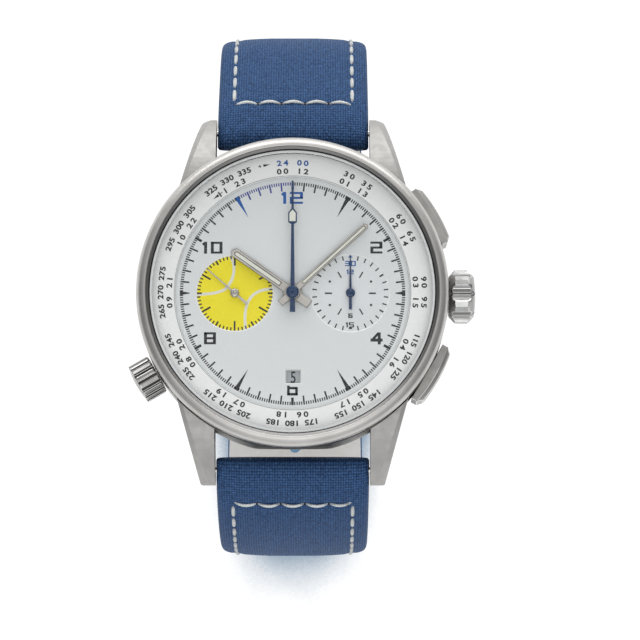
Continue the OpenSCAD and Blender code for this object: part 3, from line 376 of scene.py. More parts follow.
# limits of the masks that shade the case, lengths in millimetres
caseShade = {
    "wallAside": (5, 11), "wallSlope": (0.4, 0.6), "wallTone": (0.075, 0.077, 0.08),
    "lugAside": (11.05, 11.15), "lugAcross": (0.8, 0.95), "lugTone": (0.05, 0.05, 0.05),
    "seamRadius": (22.2, 22.26), "seamUp": (0.2, 0.4), "seamShift": 0.2, "seamTone": (0.015, 0.015, 0.015),
}


# the wall between the lugs, the lugs' inner sides and the seam under the bezel lie in shade
def shadeCase(mat):
    spec, tree = caseShade, mat.node_tree
    where = addNode(tree, "TexCoord").outputs
    facing = addNode(tree, "SeparateXYZ", {0: where["Normal"]}).outputs
    place = addNode(tree, "SeparateXYZ", {0: where["Object"]}).outputs
    sockets = (place["X"], facing["X"], facing["Z"])
    aside, across, slope = [addMath(tree, "ABSOLUTE", socket) for socket in sockets]
    radius = flatRadius(tree, addVector(tree, "SUBTRACT", where["Object"], (0, spec["seamShift"] * mm, 0)))

    def shadeWhere(distance, limits, turned, color):
        near = addRange(tree, distance, limits[0] * mm, limits[1] * mm)
        recolor(mat, addMath(tree, "MAXIMUM", near, turned), color)

    shadeWhere(aside, spec["wallAside"], addRange(tree, slope, *spec["wallSlope"]), spec["wallTone"])
    shadeWhere(aside, spec["lugAside"], addRange(tree, across, *spec["lugAcross"], 1.0, 0.0), spec["lugTone"])
    up = addRange(tree, facing["Z"], *spec["seamUp"], 1.0, 0.0)
    shadeWhere(radius, spec["seamRadius"], up, spec["seamTone"])


# painted shade in the hollows between teeth
def darkenHollows(mat, color, centre, axis, valley, crest):
    where = addNode(mat.node_tree, "TexCoord").outputs
    depth = addNode(mat.node_tree, "Group", {
        "Vector": where["Object"], "Normal": where["Normal"], "Centre": Vector(centre) * mm, "Axis": axis,
        "Valley": valley * mm, "Crest": crest * mm}, node_tree=axisDistance)
    recolor(mat, depth.outputs["Mask"], color)


# painted shade: the inner step a darker grey, and a black line where the gap next to the glass lies in shade
lineInside(finishes["steelBezelTop"], 20.6, (0.24, 0.235, 0.23))
lineInside(finishes["steelBezelTop"], 20.2, (0.03, 0.03, 0.03))
shadeCase(finishes["steelLug"])
# painted shade in the flutes of the crown and the corrector
darkenHollows(finishes["steelCrown"], (0.06, 0.06, 0.06), (0, 0, 6.3), (1, 0, 0), 3.2, 3.6)
darkenHollows(finishes["steelFluted"], (0.05, 0.05, 0.048), (0, 0, 6.7), (-0.866, -0.5, 0), 2.5, 2.76)

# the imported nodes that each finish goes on
cadFinish = {
    "steelLug": "mid_case", "steelBezelTop": "bezel", "steelBezel": "case_back",
    "sapphire": "crystal back_crystal", "rubberBlack": "back_gasket",
    "steelPolished": "case_tubes spring_bars buckle_frame buckle_tongue",
    "steelBrushed": "movement_ring start_pusher reset_pusher", "dialSilver": "dial", "ringWhite": "time_ring",
    "steelFluted": "corrector", "steelCrown": "crown",
    "steelMovement": "corrector_stem winding_stem clutch_wheel winding_pinion crown_wheel transfer_wheel "
                     "ratchet_wheel escape_wheel pallet_fork cannon_pinion start_lever reset_hammer",
    "brassGilt": "barrel centre_wheel third_wheel fourth_wheel balance_wheel minute_wheel hour_wheel "
                 "chrono_wheel minute_counter_wheel hour_counter_wheel",
    "bluedSteel": "mainspring balance_spring column_wheel", "pearledNickel": "main_plate",
    "nickelStripes": "balance_cock train_bridge barrel_bridge rotor_bridge", "rotorStripes": "rotor",
    "dateGrey": "date_disc", "handSteel": "hour_hand minute_hand small_seconds_hand",
    "navyEnamel": "chrono_hand minute_counter_hand hour_counter_hand",
}
for finish, nodeNames in cadFinish.items():
    for nodeName in nodeNames.split():
        mesh = cadNodes[nodeName].data
        mesh.materials.clear()
        mesh.materials.append(finishes[finish])
print("materials on the packed nodes")

# a fine chamfer catches the light on turned and milled edges: its width and finish; the hands' chamfers take a
# dark steel that paints their shade and dark reflection
edgeSpec = {"crown": (0.09, "steelPolished"), "corrector": (0.09, "steelPolished"),
            "start_pusher": (0.1, "steelPolished"), "reset_pusher": (0.1, "steelPolished"),
            "hour_hand": (0.07, "handEdgeShade"), "minute_hand": (0.06, "handEdgeShade")}


def softenEdges():
    for name, (width, finish) in edgeSpec.items():
        piece = cadNodes[name]
        piece.data.materials.append(finishes[finish])
        weld = piece.modifiers.new("joinCorners", "WELD")
        weld.merge_threshold = 0.000002
        chamfer = piece.modifiers.new("edgeChamfer", "BEVEL")
        chamfer.width = width * mm
        chamfer.segments = 2
        chamfer.limit_method = "ANGLE"
        chamfer.angle_limit = math.radians(35)
        chamfer.use_clamp_overlap = False
        chamfer.material = 1


softenEdges()
print("edges softened")


# mesh helpers
def newObject(name, data):
    piece = bpy.data.objects.new(name, data)
    bpy.context.scene.collection.objects.link(piece)
    return piece


def newMesh(name, bm):
    mesh = bpy.data.meshes.new(name)
    bm.to_mesh(mesh)
    bm.free()
    return mesh


def finishPiece(bm, name, mats, body, sharpAngle=35):
    bmesh.ops.scale(bm, vec=(mm, mm, mm), verts=bm.verts)
    for face in bm.faces:
        face.smooth = True
    limit = math.radians(sharpAngle)
    for edge in bm.edges:
        if len(edge.link_faces) == 2 and edge.calc_face_angle(0) > limit:
            edge.smooth = False
    mesh = newMesh(name, bm)
    for mat in mats.split():
        mesh.materials.append(finishes[mat])
    piece = newObject(name, mesh)
    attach(piece, body)
    return piece


# adds a part made on its own to the mesh of its piece
def joinPart(target, part):
    mesh = newMesh("part", part)
    target.from_mesh(mesh)
    bpy.data.meshes.remove(mesh)


def newVerts(grown):
    return [item for item in grown["geom"] if isinstance(item, bmesh.types.BMVert)]


def extrudeBy(bm, faces, vec):
    top = newVerts(bmesh.ops.extrude_face_region(bm, geom=faces))
    bmesh.ops.translate(bm, vec=vec, verts=top)
    return top


# a flat plate from corner points
def addPlate(bm, points, z0, z1):
    verts = [bm.verts.new((x, y, z0)) for x, y in points]
    verts += extrudeBy(bm, [bm.faces.new(verts)], (0, 0, z1 - z0))
    bmesh.ops.recalc_face_normals(bm, faces=list(set(face for vert in verts for face in vert.link_faces)))
    return verts


def addBlock(bm, centre, size, turn=0.0):
    matrix = Matrix.Translation(centre) @ Matrix.Rotation(turn, 4, "Z") @ Matrix.Diagonal((*size, 1))
    return bmesh.ops.create_cube(bm, size=1.0, matrix=matrix)["verts"]


def addDrum(bm, centre, radius, depth, segments, topRadius=None, turn=Matrix()):
    bmesh.ops.create_cone(bm, cap_ends=True, segments=segments, radius1=radius, radius2=topRadius or radius,
                          depth=depth, matrix=Matrix.Translation(centre) @ turn)


def closedLine(bm, verts):
    return [bm.edges.new(pair) for pair in zip(verts, verts[1:] + verts[:1])]


# a ring spun from a profile of (radius, height) points
def addSpun(bm, profile, centre, steps):
    verts = [bm.verts.new((centre[0] + radius, centre[1], z)) for radius, z in profile]
    bmesh.ops.spin(bm, geom=verts + closedLine(bm, verts), cent=(*centre, 0), axis=(0, 0, 1),
                   angle=2 * math.pi, steps=steps, use_merge=True, use_duplicate=False)
    bmesh.ops.recalc_face_normals(bm, faces=bm.faces)


def squareProfile(inner, outer, low, high):
    return [(inner, low), (outer, low), (outer, high), (inner, high)]


# cuts off what lies past a plane and closes the cut
def cutPast(bm, point, way):
    bmesh.ops.bisect_plane(bm, geom=bm.verts[:] + bm.edges[:] + bm.faces[:], plane_co=point, plane_no=way,
                           clear_outer=True)
    bmesh.ops.holes_fill(bm, edges=[edge for edge in bm.edges if len(edge.link_faces) == 1])


# degrees are clockwise from 12 o'clock here and in the two functions under it
def clockPoint(radius, degrees, centre=(0, 0)):
    turn = math.radians(degrees)
    return (centre[0] + radius * math.sin(turn), centre[1] + radius * math.cos(turn))


def turnClock(bm, verts, degrees):
    bmesh.ops.rotate(bm, cent=zero, matrix=Matrix.Rotation(-math.radians(degrees), 3, "Z"), verts=verts)


printTall = 0.02  # of the dial's print


def addTick(bm, centre, degrees, inner, outer, width, z):
    x, y = clockPoint((inner + outer) / 2, degrees, centre)
    addBlock(bm, (x, y, z + printTall / 2), (width, outer - inner, printTall), -math.radians(degrees))


# square numerals from plain strokes: a to g as on a counter, for the digits on the dials
strokeSets = {"0": "abcdef", "1": "bc", "2": "abged", "3": "abgcd", "5": "afgcd", "6": "afgedc", "8": "abcdefg"}


def addNumeral(bm, digit, x, y, width, height, stroke, z):
    w, h, t = width / 2, height / 2, stroke
    flat = stroke * 0.7
    bars = {
        "a": (0, h - flat / 2, width, flat), "d": (0, -h + flat / 2, width, flat), "g": (0, 0, width, flat),
        "b": (w - t / 2, h / 2, t, h), "c": (w - t / 2, -h / 2, t, h),
        "f": (-w + t / 2, h / 2, t, h), "e": (-w + t / 2, -h / 2, t, h)}
    for bar in strokeSets[digit]:
        barX, barY, wide, long = bars[bar]
        drop = 0.0004 * ord(bar) % 0.002  # no two bars share a face
        addBlock(bm, (x + barX, y + barY, z + printTall / 2 - drop), (wide, long, printTall))
    if digit == "1":  # its flag
        place = (x + w - t * 1.1, y + h - t * 0.72, z + printTall / 2 - 0.001)
        addBlock(bm, place, (t * 0.95, t * 0.85, printTall), 0.7)


# the pale seal round the glass, a hair clear of both
gasketSpec = {"inner": 19.76, "outer": 20.03, "bottom": 11.72, "top": 12.22}


def makeGasket():
    bm = bmesh.new()
    addSpun(bm, squareProfile(*gasketSpec.values()), (0, 0), 180)
    ring = finishPiece(bm, "glassGasket", "gasketPale", "case")
    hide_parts("crystal_gasket")


makeGasket()
print("gasket made")

# the dial's print: each kind of tick by its length and width, the hours that aren't ticks by their outlines
dialTop = 9.8
wedge = [(-0.33, 15.9), (0, 12.5), (0.33, 15.9)]
shortWedge = [(-0.3, 15.9), (-0.05, 14.5), (0.05, 14.5), (0.3, 15.9)]
dialSpec = {
    "track": 15.9, "hour": (1.05, 0.36), "second": (1.25, 0.23), "fine": (0.46, 0.165), "violetFrom": 330,
    "wedges": {1: ("black", wedge), 5: ("black", wedge), 7: ("black", wedge), 11: ("blue", wedge),
               3: ("black", shortWedge), 9: ("black", shortWedge)},
    "numerals": [("1", -12.34, 6.5, 0.5, "black"), ("0", -10.73, 6.5, 1.66, "black"),
                 ("2", 11.84, 6.52, 1.7, "black"), ("8", -11.62, -6.43, 1.68, "black"),
                 ("1", -1.175, 13.66, 0.5, "blue"), ("2", 0.53, 13.66, 1.85, "blue")],
    "numeralHeight": 1.7, "stroke": 0.42,
    # the open 4: its upright and its bar as x, y, width, height and z, then its slanted stroke
    "four": (11.83, -6.45), "fourBars": [(0.38, 0, 0.42, 1.7, 0.01), (0, -0.24, 1.7, 0.42, 0.0095)],
    "fourSlant": [(-0.85, -0.24), (-0.38, -0.24), (0.55, 0.82), (0.1, 0.82)],
    # the 6, cut short by the date window
    "sixBars": [(0, -14.37, 1.5, 0.36), (-0.57, -13.8, 0.36, 1.3), (0.57, -13.95, 0.36, 1.1),
                (0.1, -13.5, 1.2, 0.34)],
}


def makeDialPrint():
    spec = dialSpec
    inks = {"black": bmesh.new(), "blue": bmesh.new(), "violet": bmesh.new()}
    z, track = dialTop - 0.004, spec["track"]
    for i in range(300):
        degrees = i * 1.2
        hour, rest = divmod(i, 25)
        if rest == 0 and hour in spec["wedges"]:
            ink, outline = spec["wedges"][hour]
            turnClock(inks[ink], addPlate(inks[ink], outline, z, z + printTall), degrees)
        else:
            length, width = spec["hour" if rest == 0 else "second" if i % 5 == 0 else "fine"]
            ink = "violet" if i == 0 or degrees > spec["violetFrom"] else "black"
            addTick(inks[ink], (0, 0), degrees, track - length, track, width, z)
    for digit, x, y, width, ink in spec["numerals"]:
        addNumeral(inks[ink], digit, x, y, width, spec["numeralHeight"], spec["stroke"], z)
    fourX, fourY = spec["four"]
    for x, y, wide, long, up in spec["fourBars"]:
        addBlock(inks["black"], (fourX + x, fourY + y, z + up), (wide, long, printTall))
    addPlate(inks["black"], [(fourX + x, fourY + y) for x, y in spec["fourSlant"]], z, z + 0.0195)
    for x, y, wide, long in spec["sixBars"]:
        addBlock(inks["black"], (x, y, z + printTall / 2), (wide, long, printTall))
    for ink, bm in inks.items():
        finishPiece(bm, "dialPrint" + ink.title(), "print" + ink.title(), "case")


makeDialPrint()

smallDials = {
    "floor": 9.64, "rim": 0.2, "rimLip": 0.03, "tickOuter": 5.38, "faceTall": 0.03,
    "seconds": (-8.15, 0.0), "secondsRadius": 5.5, "secondsFace": 5.46, "seamEnd": 5.42,
    "counter": (8.15, 0.0), "counterRadius": 5.6, "counterFace": 5.56,
    # every how many ticks, from which radius, how wide
    "secondsTicks": [(10, 3.95, 0.24), (5, 4.65, 0.24), (1, 4.88, 0.18)],
    "counterTicks": [(5, 4.75, 0.22), (1, 4.75, 0.17)],
    "hourBars": [((1, 5, 7, 11), 2.55, 3.5, 0.17), ((3, 9), 2.6, 3.6, 0.2)], "dotRadius": 3.35, "dotSize": 0.17,
    "arrowFoot": 5.1, "arrowHalf": 0.3, "arrowTall": 0.42,
    # ink, digit, place from the counter's centre, width, height, stroke
    "numbers": [("blue", "3", -0.42, 4.25, 0.7, 0.72, 0.18), ("blue", "0", 0.42, 4.25, 0.7, 0.72, 0.18),
                ("blue", "1", -0.42, 3.05, 0.3, 0.64, 0.17), ("blue", "2", 0.16, 3.05, 0.62, 0.64, 0.17),
                ("black", "6", 0, -3.2, 0.6, 0.64, 0.18), ("black", "1", -0.52, -4.5, 0.3, 0.72, 0.18),
                ("black", "5", 0.14, -4.5, 0.72, 0.72, 0.18)],
    # the counter's inner floor is cut a little lower than its track
    "track": [(3.98, 0.02), (5.36, 0.02), (5.36, 0.038), (4.16, 0.038)],
    "seamWidth": 0.4,
    "seams": [[(-0.75, 5.6), (-0.3, 4.6), (-0.12, 3.6), (-0.3, 2.3), (-0.8, 1.25), (-1.5, 0.5), (-2.7, 0.08),
               (-4.0, -0.1), (-5.6, -0.2)],
              [(5.6, 0.62), (4.5, 0.55), (3.5, 0.3), (2.6, -0.25), (1.95, -1.1), (1.58, -2.2), (1.45, -3.4),
               (1.5, -4.5), (1.55, -5.6)]],
}


# a flat strip along a smooth line through the given points
def addStrip(bm, points, width, z0, z1):
    steps = 5
    path = []
    for i in range(len(points) - 1):
        a, b = Vector(points[max(i - 1, 0)]), Vector(points[i])
        c, d = Vector(points[i + 1]), Vector(points[min(i + 2, len(points) - 1)])
        for k in range(steps):
            t = k / steps
            path.append(0.5 * ((2 * b) + (c - a) * t + (2 * a - 5 * b + 4 * c - d) * t * t
                               + (3 * b - a - 3 * c + d) * t ** 3))
    path.append(Vector(points[-1]))
    rows = []
    for i, point in enumerate(path):
        along = (path[min(i + 1, len(path) - 1)] - path[max(i - 1, 0)]).normalized()
        side = Vector((-along.y, along.x)) * width / 2
        rows.append([bm.verts.new((*(point + side), z0)), bm.verts.new((*(point - side), z0))])
    strip = [bm.faces.new((a[0], a[1], b[1], b[0])) for a, b in zip(rows, rows[1:])]
    extrudeBy(bm, strip, (0, 0, z1 - z0))
    bmesh.ops.recalc_face_normals(bm, faces=bm.faces)


# ticks round a small dial, each as its first fitting row says
def addTrack(bm, centre, count, rows, z, bare=()):
    for i in range(count):
        if i not in bare:
            every, inner, width = next(row for row in rows if i % row[0] == 0)
            addTick(bm, centre, i * 360 / count, inner, smallDials["tickOuter"], width, z)


# the yellow face with its two curved seams, kept inside the rim
def makeSeconds():
    spec = smallDials
    centre, floor = spec["seconds"], spec["floor"]
    disc, seams, marks = bmesh.new(), bmesh.new(), bmesh.new()
    addDrum(disc, (*centre, floor + 0.01), spec["secondsFace"], spec["faceTall"], 128)
    finishPiece(disc, "secondsFace", "yellowPaint", "case")
    cuts = 48
    for line in spec["seams"]:
        strip = bmesh.new()
        addStrip(strip, line, spec["seamWidth"], floor + 0.015, floor + 0.034)
        for side in range(cuts):
            turn = 2 * math.pi * side / cuts
            way = Vector((math.cos(turn), math.sin(turn), 0))
            cutPast(strip, way * spec["seamEnd"], way)
        bmesh.ops.translate(strip, vec=(*centre, 0), verts=strip.verts)
        joinPart(seams, strip)
    finishPiece(seams, "secondsSeams", "seamPaint", "case")
    addTrack(marks, centre, 60, spec["secondsTicks"], floor + 0.03)
    finishPiece(marks, "secondsMarks", "printBlack", "case")


# the counter's face with its ticks, hour marks and plain numbers
def makeCounter():
    spec = smallDials
    centre, floor = spec["counter"], spec["floor"]
    cx, cy = centre
    disc, step = bmesh.new(), bmesh.new()
    inks = {"black": bmesh.new(), "blue": bmesh.new()}
    black, z = inks["black"], floor + 0.034
    addDrum(disc, (cx, cy, floor + 0.01), spec["counterFace"], spec["faceTall"], 128)
    finishPiece(disc, "counterFace", "dialCounter", "case")
    addTrack(black, centre, 30, spec["counterTicks"], z, (0, 15))
    for hours, inner, outer, width in spec["hourBars"]:
        for hour in hours:
            addTick(black, centre, hour * 30, inner, outer, width, z)
    for hour in (2, 4, 8, 10):
        x, y = clockPoint(spec["dotRadius"], hour * 30, centre)
        addDrum(black, (x, y, z + printTall / 2), spec["dotSize"], printTall, 12)
    for ink, up in (("blue", 1), ("black", -1)):
        half, foot = spec["arrowHalf"], cy + up * spec["arrowFoot"]
        outline = [(cx - half, foot), (cx + half, foot), (cx, foot + spec["arrowTall"])]
        addPlate(inks[ink], outline, z, z + printTall)
    for ink, digit, x, y, width, height, stroke in spec["numbers"]:
        addNumeral(inks[ink], digit, cx + x, cy + y, width, height, stroke, z)
    finishPiece(black, "counterMarks", "printBlack", "case")
    finishPiece(inks["blue"], "counterMarksBlue", "printBlue", "case")
    addSpun(step, [(radius, floor + rise) for radius, rise in spec["track"]], centre, 128)
    finishPiece(step, "counterTrack", "dialCounter", "case")


# sloped bright rims of both small dials
def makeRims():
    spec = smallDials
    rims = bmesh.new()
    low, high = spec["floor"], dialTop + 0.004
    for dial in ("seconds", "counter"):
        ring, radius = bmesh.new(), spec[dial + "Radius"]
        inner, lip = radius - spec["rim"], radius - spec["rimLip"]
        addSpun(ring, [(inner, low), (radius, low), (radius, high), (lip, high)], spec[dial], 128)
        joinPart(rims, ring)
    finishPiece(rims, "smallDialRims", "ringWhite", "case")


makeSeconds()
makeCounter()
makeRims()
print("dial and small dials made")

# plain numbers set as type, each word's mesh kept for use again
glyphs = {}


def glyphMesh(word, size, weight):
    key = (word, size, weight)
    if key not in glyphs:
        curve = bpy.data.curves.new("glyph", "FONT")
        curve.body = word
        curve.size = size
        curve.align_x = "CENTER"
        curve.resolution_u = 3
        curve.extrude = 0.008
        curve.offset = weight * size
        holder = bpy.data.objects.new("glyph", curve)
        glyphs[key] = bpy.data.meshes.new_from_object(holder)
        bpy.data.objects.remove(holder)
        bpy.data.curves.remove(curve)
    return glyphs[key]


def addGlyph(bm, word, size, matrix, weight):
    known = set(bm.verts)
    bm.from_mesh(glyphMesh(word, size, weight))
    bmesh.ops.transform(bm, matrix=matrix, verts=[vert for vert in bm.verts if vert not in known])


# the turning ring: two rows of numbers, the pitch of their letters in degrees
ringSpec = {"top": 10.6, "outerRow": 18.22, "innerRow": 17.02, "size": 1.06, "broad": 1.25, "weight": 0.034,
            "outerPitch": 2.95, "innerPitch": 3.15, "longWord": 8, "longSpan": 23.0,
            "lineInner": 16.64, "lineOuter": 16.72, "arrows": [(-11.5, 18.6, 1), (-38.5, 17.4, -1)]}


# letters of a word set one by one round a circle, tops outwards
def addRoundWord(bm, word, radius, degrees, pitch, z):
    spec = ringSpec
    start = degrees - pitch * (len(word) - 1) / 2
    for i, letter in enumerate(word):
        if letter != " ":
            angle = start + i * pitch
            place, turn = (*clockPoint(radius, angle), z), Matrix.Rotation(-math.radians(angle), 4, "Z")
            matrix = Matrix.Translation(place) @ turn @ Matrix.Diagonal((spec["broad"], 1, 1, 1))
            addGlyph(bm, letter, spec["size"], matrix, spec["weight"])


def makeRingPrint():
    spec = ringSpec
    black, blue, grey = bmesh.new(), bmesh.new(), bmesh.new()
    top = spec["top"]
    z = top + 0.006
    for hour in range(12):
        centre = hour * 30
        steps = (-5, 0, 5) if hour > 3 else (0, 5)
        outer = " ".join(str((centre + step) % 360) for step in steps) if hour else "24 00"
        pitch = spec["outerPitch"] if len(outer) < spec["longWord"] else spec["longSpan"] / len(outer)
        addRoundWord(black if hour else blue, outer, spec["outerRow"], centre, pitch, z)
        addRoundWord(black, "%02d %02d" % (hour, hour + 12), spec["innerRow"], centre, spec["innerPitch"], z)
    # the two small turning arrows, plus one way and minus the other
    for degrees, radius, way in spec["arrows"]:
        made = addPlate(black, [(-0.45 * way, -0.2), (0.5 * way, 0), (-0.45 * way, 0.2)], z - 0.006, z + 0.012)
        made += addBlock(black, (-0.95 * way, 0, z), (0.42, 0.11, printTall))
        if way > 0:
            made += addBlock(black, (-0.95, 0, z - 0.0005), (0.11, 0.42, printTall))
        bmesh.ops.translate(black, vec=(0, radius, 0), verts=made)
        turnClock(black, made, degrees)
    addSpun(grey, squareProfile(spec["lineInner"], spec["lineOuter"], top - 0.01, top + 0.008), (0, 0), 180)
    finishPiece(black, "ringNumbers", "printBlack", "time_ring")
    finishPiece(blue, "ringNumbersBlue", "printBlue", "time_ring")
    finishPiece(grey, "ringInnerLine", "printGrey", "time_ring")


makeRingPrint()

dateSpec = {"radius": 11.85, "foot": 0.84, "aside": 0.1, "size": 2.35, "weight": 0.008, "top": 9.2, "shown": 5,
            "slim": 0.62, "wide": 0.75, "window": (-1.025, 1.225, -12.9, -10.8), "edge": 0.16, "windowLow": 9.42}


def makeDateNumbers():
    spec = dateSpec
    numbers = bmesh.new()
    place = Matrix.Translation((spec["aside"], -spec["radius"] - spec["foot"], spec["top"] + 0.008))
    for i in range(31):
        day = (spec["shown"] - 1 + i) % 31 + 1
        turn = Matrix.Rotation(math.radians(i * 360 / 31), 4, "Z")
        broad = Matrix.Diagonal((spec["slim"] if day > 9 else spec["wide"], 1, 1, 1))
        addGlyph(numbers, str(day), spec["size"], turn @ place @ broad, spec["weight"])
    finishPiece(numbers, "dateNumbers", "printBlack", "date")


# sloped frame of the date window, one plate per side with its inner top edge pressed down
def makeDateWindow():
    x0, x1, y0, y1 = dateSpec["window"]
    edge = dateSpec["edge"]
    outside = [(x0, y0), (x1, y0), (x1, y1), (x0, y1)]
    inside = [(x0 + edge, y0 + edge), (x1 - edge, y0 + edge), (x1 - edge, y1 - edge), (x0 + edge, y1 - edge)]
    window = bmesh.new()
    for i in range(4):
        j = (i + 1) % 4
        outline = [outside[i], outside[j], inside[j], inside[i]]
        for vert in addPlate(window, outline, dateSpec["windowLow"], dialTop + 0.003):
            within = x0 + 0.1 < vert.co.x < x1 - 0.1 and y0 + 0.1 < vert.co.y < y1 - 0.1
            if within and vert.co.z > 9.6:
                vert.co.z = 9.5
    finishPiece(window, "dateWindowFrame", "ringWhite", "case")


makeDateNumbers()
makeDateWindow()
print("ring and date numbers made")

# the hands' slots with their luminous fill, each drawn at 12 o'clock and turned to its hand
handSpec = {
    "hour": {"body": "hours", "slotName": "steel_hand", "angle": 305.0, "gap": 0.045,
             "z": 10.215, "tall": 0.15,
             "slot": [(-0.27, 2.12), (0.27, 2.12), (0.27, 9.69), (0, 9.93), (-0.27, 9.69)]},
    "minute": {"body": "minutes", "slotName": "steel_hand", "angle": 47.5, "gap": 0.03,
               "z": 10.565, "tall": 0.17,
               "slot": [(-0.185, 2.02), (0.185, 2.02), (0.185, 13.78), (-0.185, 13.78)]},
    "chrono": {"body": "chrono_seconds", "slotName": "navy_hand", "angle": 0.0, "gap": 0.0,
               "z": 11.015, "tall": 0.15,
               "slot": [(-0.43, 10.06), (0.43, 10.06), (0.43, 11.24), (0, 11.73), (-0.43, 11.24)]},
}


def makeHandFills():
    for key, spec in handSpec.items():
        slot, gap, z, tall = spec["slot"], spec["gap"], spec["z"], spec["tall"]
        middle = (min(y for x, y in slot) + max(y for x, y in slot)) / 2
        inset = [(x - math.copysign(gap, x) if x else 0, y - math.copysign(gap, y - middle)) for x, y in slot]
        layers = [("Lume", "lume", inset, z + 0.01, z + tall)]
        if gap:
            # the well under the lume in the same dark steel: painted shade on the slot's walls
            layers.insert(0, ("Well", "handEdgeShade", slot, z, z + tall * 0.4))
        for name, finish, outline, low, high in layers:
            bm = bmesh.new()
            turnClock(bm, addPlate(bm, outline, low, high), spec["angle"])
            finishPiece(bm, key + "Hand" + name, finish, spec["body"])


# domed hubs with a pin in the middle: centre, radius, foot, rise, finish, body and slot
hubSpec = {
    "chronoHub": ((0, 0), 0.9, 11.3, 0.2, "navyEnamel", "chrono_seconds", "navy_hand"),
    "secondsHub": (smallDials["seconds"], 0.63, 10.05, 0.2, "handSteel", "seconds", "steel_hand"),
    "counterHub": (smallDials["counter"], 0.65, 10.12, 0.16, "navyEnamel", "counter_minutes", "navy_hand"),
}


def makeHubs():
    for name, (centre, radius, z, rise, finish, body, slotName) in hubSpec.items():
        hub, pin = bmesh.new(), bmesh.new()
        addSpun(hub, [(0.24, z - 0.03), (radius - 0.02, z - 0.03), (radius - 0.04, z + rise * 0.35),
                      (radius * 0.7, z + rise * 0.85), (radius * 0.45, z + rise), (0.24, z + rise)], centre, 64)
        finishPiece(hub, name, finish, body, 60)
        place = Matrix.Translation((*centre, z + rise * 0.8)) @ Matrix.Diagonal((1, 1, 0.7, 1))
        bmesh.ops.create_uvsphere(pin, u_segments=20, v_segments=10, radius=0.235, matrix=place)
        finishPiece(pin, name + "Pin", finish, body)


makeHandFills()
makeHubs()
print("hand details made")

# the strap, its lengths along the middle line: thick and wide say first value, last value, where the taper
# begins and how long it runs, a route is runs of (radius, degrees), with radius 0 for a straight length
strapSpec = {
    "barY": 24.4, "barZ": 2.9, "barHole": 0.9, "thick": (4.2, 2.1, 12, 40), "wide": (21.7, 20.0, 24, 50),
    "corner": (6.67, 0.275), "seamInset": 2.32, "groove": (0.16, 0.42), "crossGroove": (0.22, 0.45),
    "padding": 0.28, "padRise": 4, "padFrom": 45, "padFade": 12,
    "usedHole": 66.9, "holePitch": 7.0, "holeSize": (1.8, 2.4), "usedHoleSize": (2.1, 4.8),
    "buckleY": 1.0, "loopZ": -38.3, "buckleHole": 0.76, "tongueSlot": (2.6, 4.6, 4),
    "stitchPitch": 3.3, "stitchFrom": 0.25, "stitchGap": 0.38, "threadRadius": 0.28, "rise": 0.3,
    "tailFrom": 50.0, "tailRise": 0.11, "crossStitches": 5, "crossBow": 0.35, "weavePitch": 0.36,
}
strapHalves = {
    "upper": {"sign": 1, "start": -20.0, "route": [(12.6, 25), (0, 9), (22, 45), (16.349, 90), (0, 24.437)],
              "begin": -2.6, "past": 1.2, "point": 0, "firstSeam": 3.7, "rowFrom": 4.0, "rowLeft": 14},
    "lower": {"sign": -1, "start": -35.0, "route": [(10.5, 30), (51, 25), (15.5, 90), (0, 9.2), (-8, 32.4),
                                                    (8, 32.4), (0, 24.86), (19, 75)],
              "begin": -1.9, "past": 0.0, "point": 9.0, "firstSeam": 4.25, "rowFrom": 4.55, "rowLeft": 8},
}


def runLength(radius, run):
    return run if radius == 0 else abs(radius) * math.radians(run)


for half in strapHalves.values():
    half["end"] = sum(runLength(*part) for part in half["route"]) + half["past"]


# place and heading after a distance along the middle line of one half
def strapPlace(half, distance):
    y, z, heading = strapSpec["barY"], strapSpec["barZ"], math.radians(half["start"])
    left = distance
    for index, (radius, run) in enumerate(half["route"]):
        length = runLength(radius, run)
        step = left if left <= length or index == len(half["route"]) - 1 else length
        if radius == 0:
            y, z = y + step * math.cos(heading), z + step * math.sin(heading)
        else:
            turn = step / radius
            y += radius * (math.sin(heading) - math.sin(heading - turn))
            z += radius * (math.cos(heading - turn) - math.cos(heading))
            heading -= turn
        left -= step
        if left <= 0:
            break
    return y, z, heading


def taper(s, first, last, begin, run):
    return max(last, first - (first - last) * max(0.0, s - begin) / run)


def strapThick(s):
    return taper(s, *strapSpec["thick"])


def strapWide(s):
    return taper(s, *strapSpec["wide"])


# rounds the two ends of a half
def endScale(half, s):
    reach = strapThick(s) / 2
    gap = min(s - half["begin"], half["end"] - s)
    return 1.0 if gap >= reach else math.sqrt(max(0.0, 1 - (1 - gap / reach) ** 2)) * 0.85 + 0.15


# height of the outer or inner face over the middle line, u across from -1 to 1
def strapHeight(half, u, s, outer):
    spec, firstSeam = strapSpec, half["firstSeam"]
    squareness, flatness = spec["corner"]
    base = strapThick(s) / 2 * (1 - min(1.0, abs(u)) ** squareness) ** flatness
    if not outer:
        return base - 0.05
    x = abs(u) * strapWide(s) / 2
    seam = strapWide(s) / 2 - spec["seamInset"]
    groove = spec["groove"][0] * math.exp(-((x - seam) / spec["groove"][1]) ** 2)
    past = max(0.0, min(1.0, (s - firstSeam) / spec["padRise"]))
    fade = max(0.0, 1 - max(0.0, s - spec["padFrom"]) / spec["padFade"])
    padding = spec["padding"] * past * max(0.0, 1 - (x / seam) ** 2) * fade
    deep, wide = spec["crossGroove"]
    cross = deep * math.exp(-((s - firstSeam) / wide) ** 2) if x < seam else 0.0
    return base - groove + padding - cross


# a point at x across and s along, h over the middle line
def strapPoint(half, x, s, h):
    y, z, heading = strapPlace(half, s)
    return Vector((x, half["sign"] * (y - h * math.sin(heading)), z + h * math.cos(heading)))


# stations closer together at both ends and next to the case
def stationList(begin, end):
    ends = (0.0, 0.12, 0.35, 0.7, 1.1, 1.6)
    stations = [begin + step for step in ends]
    s = begin + 2.1
    while s < end - 2.0:
        stations.append(s)
        s += 0.45 if s < 8 else 1.1
    return stations + [end - step for step in reversed(ends)]


